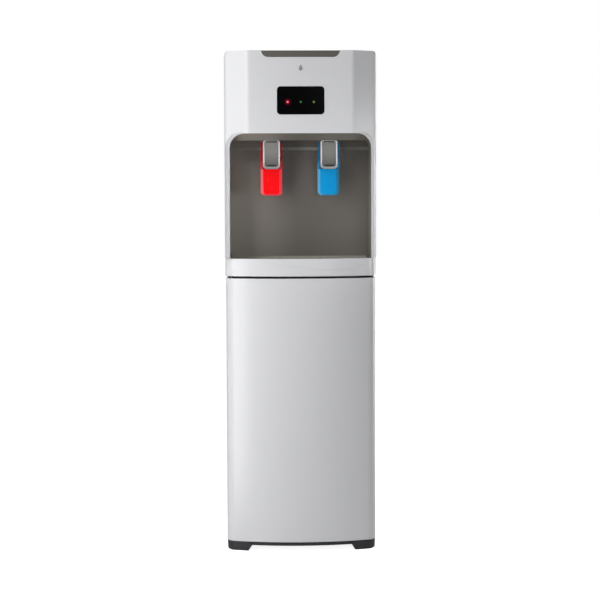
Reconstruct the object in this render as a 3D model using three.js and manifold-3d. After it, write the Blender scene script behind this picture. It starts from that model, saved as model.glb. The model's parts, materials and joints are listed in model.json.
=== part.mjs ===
// A floor-standing, bottom-loading water cooler with a hot and a cold push tap.
// Millimetres, +X to the right, +Y to the back, +Z up. The origin is on the floor, under the
// middle of the bounding box.
import * as THREE from "three";
import { mergeVertices } from "three/addons/utils/BufferGeometryUtils.js";
import Module from "manifold-3d";

const wasm = await Module();
wasm.setup();

// ---- Driving dimensions ----

const HEIGHT = 1040;
const DEPTH = 345;
const FRONT = -DEPTH / 2;
const GAP = 0.3; // between pieces that touch

// Cabinet
const CABINET_HALF = 154; // to the outside of the side panels
const SHEET = 1.5; // steel panels
const CABINET_FRONT = FRONT + 57;
const PANEL_REAR = 166;
const PANEL_FOOT = 18.3;
const PANEL_TOP = 1026;
const FLANGE = 14; // turned in at the front of each side panel
const DECK_BOTTOM = 574.5;
const DECK_TOP = DECK_BOTTOM + 2;

// Plinth
const PLINTH_TOP = 18;
const FOOT_HEIGHT = 12;
const FOOT_INNER = 112; // half the gap between the feet, at the floor
const FOOT_SLANT = 8;
const SIDE_TAPER = 6;
const SIDE_ARCH = [-100, 110]; // the gap between the front and rear feet, at the floor
const BOTTLE_RAIL_X = 139;

// Moulded covers: the shallow bow of the door and ledge, and the facets of the head
const WALL = 3;
const BOW_RADIUS = 448;
const CORNER_RADIUS = 25;
const HEAD_HALF = 157.75;
const LEDGE_HALF = 157;
const FACET_HALF = 109.5; // half the flat middle of the head
const FACET_ANGLE = Math.atan2(20, 35);
const FACET_FILLET = 14;
const CREASE_RADIUS = 26; // of the soft fold between the flat middle and each facet
const COVER_BACK = FRONT + 62;
const LEDGE_TOP = 610.7;
const CROWN_RADIUS = 8; // of the head's upper corners, seen from the front

// Door
const DOOR_HALF = 155.75;
const DOOR_WALL = 2.5;
const DOOR_BOTTOM = 20;
const DOOR_TOP = 569.8;
const DOOR_BACK = FRONT + 52;
const HINGE = [-143.5, FRONT + 32];

// Niche and its drip tray
const NICHE_HALF = 147;
const NICHE_TOP = 869.9;
const NICHE_CORNER = 30;
const BROW_BOTTOM = 856;
const BROW_DEPTH = 35; // of its lower edge behind the front
const STEP_Z = 837.5; // the back wall steps forward above this
const NICHE_BACK = FRONT + 112;
const LINER = 2.5;
const TRAY_INSET = 11;
const TRAY_BACK = FRONT + 110;
const SHELF_TOP = 582.5;
const GRILLE_TOP = 608.5;

// Taps
const TAP_X = 60;
const TAP_FRONT = FRONT + 41;
const TAP_PIVOT = [TAP_FRONT + 11, 839];
const SPOUT_Y = TAP_FRONT + 22;
const NECK_Z = 826;
const BEZEL_HALF = 17.5;
const FACE_RADIUS = 82; // of the bulging face inside the bezel
const BEZEL_BOTTOM = 796.5;
const BEZEL_TOP = 855.5;
const PADDLE_BOTTOM = 741;
const LEVER_INNER = 17.8;
const LEVER_OUTER = 23.5;

// Indicator window
const WINDOW_Z = 937.2;
const WINDOW_SIZE = [98, 58];
const LAMP_Z = 934;
const LAMP_PITCH = 27;

// Cooling stack, from the cold tank to the rear panel
const TANK_Y = 12;
const TANK_RADIUS = 66;
const FOAM_RADIUS = 84;
const FOAM_BOTTOM = 873;
const TANK_TOP = 996;
const COOL_Z = 945;
const FAN_HALF = 46;

// Hot tank, drain and the pieces on the rear panel
const HOT_TANK = [-70, 60];
const HOT_RADIUS = 45;
const HOT_BOTTOM = 662;
const HOT_TOP = 800;
const DRAIN_Z = 625;
const REAR_ROW_Z = 600;
const SWITCH_X = [34, 62];
const INLET_X = 107;

// Bottle probe, parked beside the bottle
const PROBE = [-122, 134];
const PROBE_TOP = 541;

// ---- Outlines ----

const point = (x, y) => new THREE.Vector2(x, y);
const radians = (degrees) => (degrees * Math.PI) / 180;

function arc(x, y, radius, from, to, steps) {
  return Array.from({ length: steps + 1 }, (_, i) => {
    const angle = radians(from + ((to - from) * i) / steps);
    return point(x + radius * Math.cos(angle), y + radius * Math.sin(angle));
  });
}

const mirrored = (half) => [...half, ...half.map((p) => point(-p.x, p.y)).reverse()];

function rectangle(x0, x1, y0, y1) {
  return [point(x0, y0), point(x1, y0), point(x1, y1), point(x0, y1)];
}

function roundedRectangle(x0, x1, y0, y1, radius) {
  return [
    ...arc(x1 - radius, y1 - radius, radius, 0, 90, 4),
    ...arc(x0 + radius, y1 - radius, radius, 90, 180, 4),
    ...arc(x0 + radius, y0 + radius, radius, 180, 270, 4),
    ...arc(x1 - radius, y0 + radius, radius, 270, 360, 4),
  ];
}

// Plan of the door, ledge and tray: a bowed front, a fillet at each corner and straight sides.
function bowedPlan(halfWidth, back, inset = 0) {
  const bow = BOW_RADIUS - inset;
  const corner = CORNER_RADIUS - inset;
  const filletX = halfWidth - CORNER_RADIUS;
  const bowY = FRONT + BOW_RADIUS;
  const filletY = bowY - Math.sqrt((bow - corner) ** 2 - filletX ** 2);
  const lean = (Math.asin(filletX / (bow - corner)) * 180) / Math.PI;
  return mirrored([
    point(halfWidth - inset, back),
    ...arc(filletX, filletY, corner, 0, lean - 90, 5),
    ...arc(0, bowY, bow, lean - 90, -90, 8).slice(1),
  ]);
}

// Plan of the head: a flat front, a slanting facet and a fillet at each side.
function facetedPlan(back, inset = 0) {
  const side = HEAD_HALF - FACET_FILLET;
  const sine = Math.sin(FACET_ANGLE);
  const cosine = Math.cos(FACET_ANGLE);
  const run = (side - FACET_HALF + FACET_FILLET * sine) / cosine;
  const filletY = FRONT + FACET_FILLET * cosine + run * sine;
  const turn = 90 - (FACET_ANGLE * 180) / Math.PI;
  const foldX = FACET_HALF - CREASE_RADIUS * Math.tan(FACET_ANGLE / 2);
  return mirrored([
    point(HEAD_HALF - inset, back),
    ...arc(side, filletY, FACET_FILLET - inset, 0, -turn, 5),
    ...arc(foldX, FRONT + CREASE_RADIUS, CREASE_RADIUS - inset, -turn, -90, 4),
  ]);
}

// The arched outline of the niche in XZ, grown outwards by an amount.
function nicheOutline(grow, bottom) {
  const radius = NICHE_CORNER + grow;
  const x = NICHE_HALF - NICHE_CORNER;
  return mirrored([
    point(NICHE_HALF + grow, bottom),
    ...arc(x, NICHE_TOP - NICHE_CORNER, radius, 0, 90, 6),
  ]);
}

// ---- Solids ----

function solidOf(geometry) {
  geometry.deleteAttribute("normal");
  geometry.deleteAttribute("uv");
  const merged = mergeVertices(geometry);
  const mesh = new wasm.Mesh({
    numProp: 3,
    vertProperties: new Float32Array(merged.attributes.position.array),
    triVerts: new Uint32Array(merged.index.array),
  });
  return new wasm.Manifold(mesh);
}

function geometryOf(solid) {
  const { vertProperties, triVerts } = solid.getMesh();
  const geometry = new THREE.BufferGeometry();
  geometry.setAttribute("position", new THREE.BufferAttribute(vertProperties, 3));
  geometry.setIndex(new THREE.BufferAttribute(triVerts, 1));
  geometry.computeVertexNormals();
  return geometry;
}

const join = (...pieces) => pieces.flat().reduce((sum, piece) => sum.add(piece));
const cut = (body, ...tools) => tools.flat().reduce((rest, tool) => rest.subtract(tool), body);

const AXES = {
  x: [new THREE.Vector3(0, 1, 0), new THREE.Vector3(0, 0, 1), new THREE.Vector3(1, 0, 0)],
  y: [new THREE.Vector3(1, 0, 0), new THREE.Vector3(0, 0, 1), new THREE.Vector3(0, -1, 0)],
  z: [new THREE.Vector3(1, 0, 0), new THREE.Vector3(0, 1, 0), new THREE.Vector3(0, 0, 1)],
};

// An outline in the plane across an axis, extruded between two places on that axis.
function prism(axis, outline, from, to) {
  const extrude = { depth: to - from, bevelEnabled: false };
  const geometry = new THREE.ExtrudeGeometry(new THREE.Shape(outline), extrude);
  geometry.applyMatrix4(new THREE.Matrix4().makeBasis(...AXES[axis]));
  const start = { x: [from, 0, 0], y: [0, to, 0], z: [0, 0, from] }[axis];
  return solidOf(geometry.translate(...start));
}

function block(x0, x1, y0, y1, z0, z1) {
  const geometry = new THREE.BoxGeometry(x1 - x0, y1 - y0, z1 - z0);
  return solidOf(geometry.translate((x0 + x1) / 2, (y0 + y1) / 2, (z0 + z1) / 2));
}

// A round bar along an axis; centre holds its other two coordinates in the order x, y, z.
function rod(axis, radius, from, to, centre, sides = 16) {
  const geometry = new THREE.CylinderGeometry(radius, radius, to - from, sides);
  const middle = (from + to) / 2;
  const [a, b] = centre;
  if (axis === "x") return solidOf(geometry.rotateZ(Math.PI / 2).translate(middle, a, b));
  if (axis === "y") return solidOf(geometry.translate(a, middle, b));
  return solidOf(geometry.rotateX(Math.PI / 2).translate(a, b, middle));
}

// A profile of radius and height turned about an upright axis.
function turned(profile, [x, y], sides = 24) {
  const geometry = new THREE.LatheGeometry(profile, sides);
  return solidOf(geometry.rotateX(Math.PI / 2).translate(x, y, 0));
}

function ring(axis, outer, inner, from, to, centre, sides = 24) {
  const hole = rod(axis, inner, from - 1, to + 1, centre, sides);
  return cut(rod(axis, outer, from, to, centre, sides), hole);
}

function hose(radius, steps, ...stops) {
  const path = new THREE.CatmullRomCurve3(stops.map((stop) => new THREE.Vector3(...stop)));
  const section = new THREE.Shape(arc(0, 0, radius, 0, 315, 7));
  const extrude = { steps, extrudePath: path, bevelEnabled: false };
  return solidOf(new THREE.ExtrudeGeometry(section, extrude));
}

// A thin-walled vessel with rounded shoulders and an opening in its top.
function vessel(centre, radius, bottom, top, sheet, shoulder) {
  const mouth = 6;
  const outer = [
    point(0, bottom),
    ...arc(radius - shoulder, bottom + shoulder, shoulder, -90, 0, 2),
    ...arc(radius - shoulder, top - shoulder, shoulder, 0, 90, 2),
    point(mouth, top),
  ];
  const inner = [
    point(mouth, top - sheet),
    ...arc(radius - shoulder, top - shoulder, shoulder - sheet, 90, 0, 2),
    ...arc(radius - shoulder, bottom + shoulder, shoulder - sheet, 0, -90, 2),
    point(0, bottom + sheet),
  ];
  return turned([...outer, ...inner], centre);
}

// ---- Parts ----

const cooler = new THREE.Group();

function add(name, solid, color, roughness = 0.4, metalness = 0) {
  const material = new THREE.MeshStandardMaterial({ color, roughness, metalness });
  const mesh = new THREE.Mesh(geometryOf(solid), material);
  mesh.name = name;
  cooler.add(mesh);
}

const WHITE = 0xe9e9ec;
const TAUPE = 0x5f5b55;
const DARK = 0x2c2d30;
const STEEL = 0xb9bdc2;
const ALUMINIUM = 0xcfd2d6;
const FOAM = 0xe6dfc6;
const SILICONE = 0xe3e6e4;
const BLACK = 0x0b0b0c;

function addPlinth() {
  const low = -1;
  const skid = [
    point(FOOT_INNER + FOOT_SLANT / FOOT_HEIGHT, low),
    point(FOOT_INNER - FOOT_SLANT, FOOT_HEIGHT),
  ];
  const [archFront, archBack] = SIDE_ARCH;
  const arch = [
    point(archBack, low),
    point(archBack, 0),
    point(archBack - 10, FOOT_HEIGHT),
    point(archFront + 10, FOOT_HEIGHT),
    point(archFront, 0),
    point(archFront, low),
  ];
  const clear = CABINET_HALF + 9;
  const taper = [
    point(CABINET_HALF - SIDE_TAPER, low),
    point(CABINET_HALF - SIDE_TAPER, 0),
    point(CABINET_HALF + 1, PLINTH_TOP + 2),
    point(clear, PLINTH_TOP + 2),
    point(clear, low),
  ];
  const otherTaper = taper.map((p) => point(-p.x, p.y));
  const inset = 3;
  const slab = prism("z", bowedPlan(CABINET_HALF + inset, PANEL_REAR, inset), 0, PLINTH_TOP);
  const feet = cut(
    slab,
    prism("y", mirrored(skid), FRONT - 1, PANEL_REAR + 1),
    prism("x", arch, -clear, clear),
    prism("y", taper, FRONT - 1, PANEL_REAR + 1),
    prism("y", otherTaper, FRONT - 1, PANEL_REAR + 1),
  );
  const floorHalf = CABINET_HALF - SHEET - 2.5;
  const floorTop = 22;
  const floorBack = PANEL_REAR - 4;
  const floor = block(
    -floorHalf,
    floorHalf,
    CABINET_FRONT + 2,
    floorBack,
    FOOT_HEIGHT + 1,
    floorTop,
  );
  const rails = [-BOTTLE_RAIL_X, BOTTLE_RAIL_X].map((x) => {
    return block(x - 2, x + 2, -60, 100, floorTop - 2, floorTop + 10);
  });
  add("base_plinth", join(feet, floor, rails), DARK, 0.5);
}

function addPanels() {
  for (const [name, side] of [["side_panel_left", -1], ["side_panel_right", 1]]) {
    const outer = CABINET_HALF * side;
    const inner = (CABINET_HALF - SHEET) * side;
    const lip = (CABINET_HALF - FLANGE) * side;
    const back = PANEL_REAR - SHEET - GAP;
    const sheet = rectangle(Math.min(outer, inner), Math.max(outer, inner), CABINET_FRONT, back);
    const flange = rectangle(
      Math.min(outer, lip),
      Math.max(outer, lip),
      CABINET_FRONT,
      CABINET_FRONT + SHEET,
    );
    const panel = join(
      prism("z", sheet, PANEL_FOOT, PANEL_TOP),
      prism("z", flange, PANEL_FOOT, DOOR_TOP),
    );
    add(name, panel, WHITE, 0.45);
  }
  const rear = block(
    -CABINET_HALF,
    CABINET_HALF,
    PANEL_REAR - SHEET,
    PANEL_REAR,
    PANEL_FOOT,
    PANEL_TOP,
  );
  const before = PANEL_REAR - 5;
  const behind = PANEL_REAR + 5;
  const [left, right] = SWITCH_X;
  const switches = rectangle(left - 11.4, right + 11.4, REAR_ROW_Z - 13.4, REAR_ROW_Z + 13.4);
  const inlet = rectangle(
    INLET_X - 15.4,
    INLET_X + 15.4,
    REAR_ROW_Z - 12.9,
    REAR_ROW_Z + 12.9,
  );
  add(
    "rear_panel",
    cut(
      rear,
      rod("y", 44, before, behind, [0, COOL_Z], 40),
      rod("y", 8.4, before, behind, [HOT_TANK[0], DRAIN_Z]),
      prism("y", switches, before, behind),
      prism("y", inlet, before, behind),
    ),
    WHITE,
    0.45,
  );
  const inner = CABINET_HALF - SHEET - GAP;
  const deck = block(-inner, inner, CABINET_FRONT + 2, PANEL_REAR - 2, DECK_BOTTOM, DECK_TOP);
  const hole = rod("z", 8, DECK_BOTTOM - 2, DECK_TOP + 2, PROBE);
  add("deck_plate", cut(deck, hole), STEEL, 0.4, 0.8);
}

// The top notch of the head, which the lip of the top cover fills.
function lipOutline(inset, top) {
  const radius = 14 - inset;
  return mirrored([point(81 - inset, top), ...arc(67, HEIGHT, radius, 0, -90, 6)]);
}

// The outline of the head seen from the front, with rounded upper corners.
function crownOutline(inset) {
  return mirrored([
    point(HEAD_HALF - inset, LEDGE_TOP - 1),
    ...arc(HEAD_HALF - CROWN_RADIUS, HEIGHT - CROWN_RADIUS, CROWN_RADIUS - inset, 0, 90, 4),
  ]);
}

// The head, its pillars beside the niche, and the ledge below: one moulding, open at the back.
function addHeadShell() {
  const wall = cut(
    prism("z", facetedPlan(COVER_BACK), LEDGE_TOP, HEIGHT).intersect(
      prism("y", crownOutline(0), FRONT - 1, COVER_BACK + 1),
    ),
    prism("z", facetedPlan(COVER_BACK + 1, WALL), LEDGE_TOP - 1, HEIGHT + 1),
    prism("y", nicheOutline(0, LEDGE_TOP - 1), FRONT - 1, COVER_BACK - 10),
    prism("y", lipOutline(0, HEIGHT + 2), FRONT - 1, FRONT + WALL + 1),
    prism("y", windowOutline(-GAP), FRONT - 1, FRONT + WALL + 1),
  );
  const ledge = cut(
    prism("z", bowedPlan(LEDGE_HALF, COVER_BACK), DECK_BOTTOM, LEDGE_TOP),
    prism("z", bowedPlan(LEDGE_HALF, COVER_BACK + 1, WALL), DECK_BOTTOM - 1, LEDGE_TOP - WALL),
    prism("z", bowedPlan(LEDGE_HALF, TRAY_BACK + 1, TRAY_INSET - 1), DECK_BOTTOM, LEDGE_TOP + 1),
    block(-160, 160, CABINET_FRONT - 1, COVER_BACK + 1, DECK_BOTTOM - 1, LEDGE_TOP + 1),
  );
  const inner = LEDGE_HALF - 2.5;
  const returns = [-1, 1].map((side) => {
    const x = (side * (LEDGE_HALF + inner)) / 2;
    return block(x - 1.25, x + 1.25, CABINET_FRONT - 2, COVER_BACK, DECK_BOTTOM, LEDGE_TOP);
  });
  add("head_shell", join(wall, ledge, returns), WHITE, 0.3);
}

function windowOutline(inset) {
  const [width, height] = WINDOW_SIZE;
  return roundedRectangle(
    inset - width / 2,
    width / 2 - inset,
    WINDOW_Z - height / 2 + inset,
    WINDOW_Z + height / 2 - inset,
    7.5,
  );
}

function addTopCover() {
  const sheet = 2.5;
  const bottom = PANEL_TOP + 0.5;
  const top = HEIGHT - 0.5;
  const clear = WALL + GAP;
  const lid = cut(
    prism("z", facetedPlan(PANEL_REAR, clear), bottom, top).intersect(
      prism("y", crownOutline(GAP), FRONT - 1, PANEL_REAR + 1),
    ),
    prism("z", facetedPlan(PANEL_REAR - sheet, clear + sheet), bottom - 1, top - sheet),
  );
  const lip = cut(
    prism("y", lipOutline(GAP, HEIGHT + 2), FRONT + 0.4, FRONT + clear + 1),
    block(-90, 90, FRONT - 1, FRONT + 9, top, HEIGHT + 3),
  );
  add("top_cover", join(lid, lip), TAUPE, 0.5);
}

function addIndicators() {
  const lamps = [
    ["indicator_heating", -LAMP_PITCH, 0xff6a70],
    ["indicator_cooling", 0, 0x3f7a35],
    ["indicator_power", LAMP_PITCH, 0xb8e04a],
  ];
  const holes = lamps.map(([, x]) => rod("y", 3.1, FRONT - 1, FRONT + 4, [x, LAMP_Z], 20));
  const window = prism("y", windowOutline(0), FRONT + 0.2, FRONT + WALL);
  add("display_window", cut(window, holes), BLACK, 0.1);
  for (const [name, x, color] of lamps) {
    add(name, rod("y", 2.8, FRONT + 0.9, FRONT + 7.7, [x, LAMP_Z], 20), color, 0.2);
  }
  const board = block(-45, 45, FRONT + 8, FRONT + 9.6, WINDOW_Z - 25, WINDOW_Z + 25);
  add("indicator_board", board, 0x1f6b3a, 0.6);
}

// Plan of the brow over the niche: the front and facets of the head, carried out to the sides.
function browPlan(inset) {
  const reach = HEAD_HALF + 12;
  const sideY = inset / Math.cos(FACET_ANGLE) + (reach - FACET_HALF) * Math.tan(FACET_ANGLE);
  return mirrored([
    point(reach, NICHE_BACK + 1),
    point(reach, FRONT + sideY),
    point(FACET_HALF - inset * Math.tan(FACET_ANGLE / 2), FRONT + inset),
  ]);
}

// A sleeve round the niche: a sloping brow, a recessed ceiling, and a step above the taps.
function addNicheLiner() {
  const outside = prism("y", nicheOutline(LINER, LEDGE_TOP + GAP), FRONT, NICHE_BACK + LINER);
  const trim = prism("z", facetedPlan(NICHE_BACK + LINER + 1, WALL + GAP), 600, 900);
  const arch = prism("y", nicheOutline(0, LEDGE_TOP - 1), FRONT - 1, NICHE_BACK);
  const ceiling = NICHE_TOP - 3;
  const edge = (inset, z) => browPlan(inset).map((p) => [p.x, p.y, z]);
  const slope = wasm.Manifold.hull([
    ...edge(WALL, NICHE_TOP + 9),
    ...edge(WALL, NICHE_TOP),
    ...edge(BROW_DEPTH, BROW_BOTTOM),
  ]);
  const roof = cut(slope, prism("z", browPlan(BROW_DEPTH + 2.5), BROW_BOTTOM - 1, ceiling));
  const step = prism(
    "x",
    [
      point(NICHE_BACK - 7, ceiling + 1),
      point(NICHE_BACK - 7, STEP_Z + 6),
      point(NICHE_BACK, STEP_Z),
      point(NICHE_BACK + 1, STEP_Z),
      point(NICHE_BACK + 1, ceiling + 1),
    ],
    -NICHE_HALF - 1,
    NICHE_HALF + 1,
  );
  const studs = [-TAP_X, TAP_X].map((x) => {
    return rod("y", 5.5, NICHE_BACK - 2, NICHE_BACK + LINER + 2, [x, NECK_Z]);
  });
  add("niche_liner", cut(outside.intersect(trim), cut(arch, roof, step), studs), TAUPE, 0.5);
}

function addTray() {
  const clear = WALL + GAP;
  const side = CABINET_HALF - SHEET - GAP;
  const shelfBottom = SHELF_TOP - WALL;
  const shelf = join(
    prism("z", bowedPlan(LEDGE_HALF, CABINET_FRONT - GAP, clear), shelfBottom, SHELF_TOP),
    block(-side, side, CABINET_FRONT - 5, NICHE_BACK + LINER, shelfBottom, SHELF_TOP),
  );
  add("tray_shelf", shelf, 0x8b8d90, 0.5);

  const wall = 2;
  const bottom = SHELF_TOP + 0.4;
  const posts = [-1, 1].flatMap((sideways) =>
    [FRONT + 40, FRONT + 95].map((y) => {
      return rod("z", 4, bottom + 1, GRILLE_TOP - 2.8, [sideways * 120, y], 12);
    }),
  );
  const basin = cut(
    prism("z", bowedPlan(LEDGE_HALF, TRAY_BACK, TRAY_INSET), bottom, LEDGE_TOP - 1),
    prism(
      "z",
      bowedPlan(LEDGE_HALF, TRAY_BACK - wall, TRAY_INSET + wall),
      bottom + wall,
      LEDGE_TOP,
    ),
  );
  add("drip_tray", join(basin, posts), TAUPE, 0.5);

  const inset = TRAY_INSET + wall + 0.5;
  const plate = prism(
    "z",
    bowedPlan(LEDGE_HALF, TRAY_BACK - wall - 0.5, inset),
    GRILLE_TOP - 2.5,
    GRILLE_TOP,
  );
  const slots = [-85, 0, 85].flatMap((x) =>
    Array.from({ length: 8 }, (_, row) => {
      const y = FRONT + 35 + 9 * row;
      return block(x - 38, x + 38, y - 2.5, y + 2.5, GRILLE_TOP - 4, GRILLE_TOP + 1);
    }),
  );
  add("drip_grille", cut(plate, slots), TAUPE, 0.45);
}

function addTap(name, x, color) {
  const y = TAP_FRONT;
  const [pivotY, pivotZ] = TAP_PIVOT;
  const stem = [x, SPOUT_Y];
  const neck = [x, NECK_Z];
  const shifted = (outline) => outline.map((p) => point(p.x + x, p.y));

  const frame = mirrored([
    ...arc(BEZEL_HALF - 3, BEZEL_TOP - 3, 3, 90, 0, 3),
    point(BEZEL_HALF, BEZEL_BOTTOM + 5),
    point(BEZEL_HALF - 5, BEZEL_BOTTOM),
  ]);
  const opening = (inset) => {
    return mirrored([
      point(BEZEL_HALF - 3 - inset, BEZEL_TOP - 1.8 - inset),
      point(BEZEL_HALF - 3 - inset, BEZEL_BOTTOM + 8),
      point(BEZEL_HALF - 6 - inset, BEZEL_BOTTOM + 5 + inset),
    ]);
  };
  const bezel = cut(
    prism("y", shifted(frame), y, y + 7),
    prism("y", shifted(opening(0)), y - 1, y + 8),
  );
  add(`${name}_tap_bezel`, bezel, 0xd8d6d9, 0.3, 0.3);

  const bodyTop = pivotZ + 5;
  const bodyBottom = NECK_Z - 14;
  const bore = 5.5; // of the valve chamber
  const outlet = 2;
  const middle = (BEZEL_BOTTOM + BEZEL_TOP) / 2;
  const bulge = [
    ...arc(y + FACE_RADIUS, middle, FACE_RADIUS, 160, 200, 8),
    point(y + 8, middle - 28),
    point(y + 8, middle + 28),
  ];
  const bowed = prism("x", bulge, x - 20, x + 20);
  const low = block(x - 20, x + 20, y - 1, y + 9, BEZEL_BOTTOM + 7.4, BEZEL_TOP);
  const face = prism("y", shifted(opening(0.4)), y - 1, y + 9).intersect(bowed).intersect(low);
  const body = join(
    face,
    block(x - 17.4, x + 17.4, y + 7.3, y + 31, bodyBottom, bodyTop),
    rod("y", 10, y + 30, NICHE_BACK - GAP, neck),
    rod("y", 5, NICHE_BACK - 2, NICHE_BACK + 20, neck),
  );
  const hollows = [
    block(x - 6.3, x + 6.3, y + 6.3, y + 15.7, pivotZ - 5.5, bodyTop + 2),
    rod("z", bore, bodyBottom + 5, bodyTop + 2, stem),
    rod("z", outlet, bodyBottom - 6, bodyBottom + 6, stem, 12),
    rod("y", 1.9, SPOUT_Y, NICHE_BACK + 22, neck, 12),
    rod("x", 2.3, x - 20, x + 20, TAP_PIVOT, 16),
  ];
  add(`${name}_tap_body`, cut(body, hollows), 0x6e6e68, 0.5);
  const nozzle = ring("z", 9, 4.5, bodyBottom - 10, bodyBottom - GAP, stem, 16);
  add(`${name}_tap_nozzle`, nozzle, DARK, 0.5);
  add(`${name}_pivot_pin`, rod("x", 2, x - 22.8, x + 22.8, TAP_PIVOT, 16), STEEL, 0.3, 0.9);
  const spring = ring("x", 4.2, 2.4, x - 5.8, x + 5.8, TAP_PIVOT, 16);
  add(`${name}_lever_spring`, spring, STEEL, 0.3, 0.9);

  const corner = 8;
  const barTop = pivotZ + 12.5;
  const cheekBottom = pivotZ - 39;
  const cheekFront = pivotY - 3;
  const cheek = [
    point(pivotY + 27, cheekBottom),
    point(pivotY + 27, barTop),
    point(cheekFront, barTop),
    ...arc(cheekFront + corner, cheekBottom + corner, corner, 180, 270, 3),
  ];
  const cheeks = [
    prism("x", cheek, x - LEVER_OUTER, x - LEVER_INNER),
    prism("x", cheek, x + LEVER_INNER, x + LEVER_OUTER),
  ];
  const padHalf = 22.8;
  const pad = mirrored([
    point(padHalf, cheekBottom + 6),
    point(padHalf, PADDLE_BOTTOM + 6),
    point(padHalf - 6, PADDLE_BOTTOM),
  ]);
  const paddle = prism("y", shifted(pad), y + 34, y + 38);
  const bar = block(x - 18, x + 18, y + 16, y + 29, barTop - 4, barTop);
  const slot = block(x - 2.4, x + 2.4, SPOUT_Y - 2.4, SPOUT_Y + 4.6, barTop - 5, barTop + 1);
  const pinHoles = rod("x", 2.3, x - 25, x + 25, TAP_PIVOT, 16);
  add(`${name}_lever`, cut(join(cheeks, paddle, bar), slot, pinHoles), color, 0.25);

  const seal = bore - 0.4;
  const stemRadius = 1.8;
  const seat = bodyBottom + 5.3;
  const head = barTop + 0.6;
  const plunger = [
    point(0, seat),
    point(seal, seat),
    point(seal, seat + 4),
    point(stemRadius, seat + 5.5),
    point(stemRadius, pivotZ - 3),
    point(seal, pivotZ - 2),
    point(seal, pivotZ + 1),
    point(stemRadius, pivotZ + 2),
    point(stemRadius, head),
    point(4, head),
    point(4, head + 2),
    point(3, head + 3),
    point(0, head + 3),
  ];
  add(`${name}_valve_plunger`, turned(plunger, stem, 12), 0xb4b0a8, 0.5);
}

function addDoor() {
  const boss = (from, to) => rod("z", 6, from, to, HINGE, 20);
  const posts = [-100, 100].flatMap((x) => {
    return [DOOR_BOTTOM + 60, DOOR_TOP - 60].map((z) => {
      return rod("y", 5, FRONT + 13, FRONT + 45, [x, z], 10);
    });
  });
  const shell = cut(
    prism("z", bowedPlan(DOOR_HALF, DOOR_BACK), DOOR_BOTTOM, DOOR_TOP),
    prism(
      "z",
      bowedPlan(DOOR_HALF, DOOR_BACK + 1, DOOR_WALL),
      DOOR_BOTTOM + DOOR_WALL,
      DOOR_TOP - DOOR_WALL,
    ),
    prism("x", roundedRectangle(DOOR_BACK - 9, DOOR_BACK + 9, 400, 490, 6), 150, 160),
  );
  const bosses = [boss(DOOR_BOTTOM + 1, DOOR_BOTTOM + 14), boss(DOOR_TOP - 14, DOOR_TOP - 1)];
  const bore = rod("z", 3, DOOR_BOTTOM - 1, DOOR_TOP + 1, HINGE, 20);
  add("door_shell", cut(join(shell, bosses, posts), bore), WHITE, 0.3);

  const half = 150;
  const face = FRONT + 45.5;
  const low = DOOR_BOTTOM + 4;
  const high = DOOR_TOP - 4;
  const pan = cut(
    block(-half, half, face - 6, face + 2, low, high),
    block(2 - half, half - 2, face - 7, face, low + 2, high - 2),
  );
  const ribs = [160, 320, 480].map((z) => {
    return block(-half + 1, half - 1, face - 5, face + 1, z, z + 2);
  });
  add("door_liner", join(pan, ribs), 0xd9dadd, 0.5);

  const [x, y] = HINGE;
  const lower = join(
    rod("z", 2.5, PANEL_FOOT, DOOR_BOTTOM + 13, [x, y], 20),
    rod("z", 7, PANEL_FOOT, DOOR_BOTTOM - 0.4, [x + 1, y], 24),
  );
  add("hinge_pin_lower", lower, STEEL, 0.3, 0.9);
  const upper = join(
    rod("z", 2.5, DOOR_TOP - 13, SHELF_TOP - WALL - GAP, [x, y], 20),
    rod("z", 7, DOOR_TOP + 0.6, DOOR_TOP + 2.6, [x + 1, y], 24),
  );
  add("hinge_pin_upper", upper, STEEL, 0.3, 0.9);
  const magnet = block(141, 149, CABINET_FRONT - 9, CABINET_FRONT - GAP, 280, 330);
  add("door_magnet", magnet, DARK, 0.6);
}

function addCooling() {
  const centre = [0, TANK_Y];
  const tankBottom = FOAM_BOTTOM + 13;
  const tank = vessel(centre, TANK_RADIUS, tankBottom, TANK_TOP, SHEET, 10);
  add("cold_tank", tank, STEEL, 0.25, 0.9);

  const foam = cut(
    rod("z", FOAM_RADIUS, FOAM_BOTTOM, TANK_TOP + 10, centre, 32),
    rod("z", TANK_RADIUS + 0.8, tankBottom - 0.5, TANK_TOP + 11, centre, 32),
    block(-31, 31, TANK_Y + 50, TANK_Y + FOAM_RADIUS + 1, COOL_Z - 31, COOL_Z + 31),
    rod("z", 7, FOAM_BOTTOM - 1, tankBottom, [45, 20]),
    rod("z", 7, FOAM_BOTTOM - 1, tankBottom, [-40, 40]),
  );
  add("cold_tank_foam", foam, FOAM, 0.9);

  const plateBack = TANK_Y + FOAM_RADIUS + 4;
  const plateFront = TANK_Y + TANK_RADIUS + GAP;
  const plate = block(-30, 30, plateFront, plateBack, COOL_Z - 30, COOL_Z + 30);
  add("cold_plate", plate, ALUMINIUM, 0.35, 0.9);
  const moduleBack = plateBack + GAP + 3.8;
  add(
    "peltier_module",
    block(-20, 20, plateBack + GAP, moduleBack, COOL_Z - 20, COOL_Z + 20),
    0xf2f2ee,
    0.6,
  );
  const sinkFront = moduleBack + GAP;
  const sinkBack = sinkFront + 29;
  const fins = Array.from({ length: 12 }, (_, i) => {
    const x = -49 + (i * 98) / 11;
    return block(x - 0.9, x + 0.9, sinkFront + 3, sinkBack, COOL_Z - 50, COOL_Z + 50);
  });
  const base = block(-50, 50, sinkFront, sinkFront + 5, COOL_Z - 50, COOL_Z + 50);
  add("heat_sink", join(base, fins), ALUMINIUM, 0.35, 0.9);
  addFan(sinkBack + 2);
}

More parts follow.
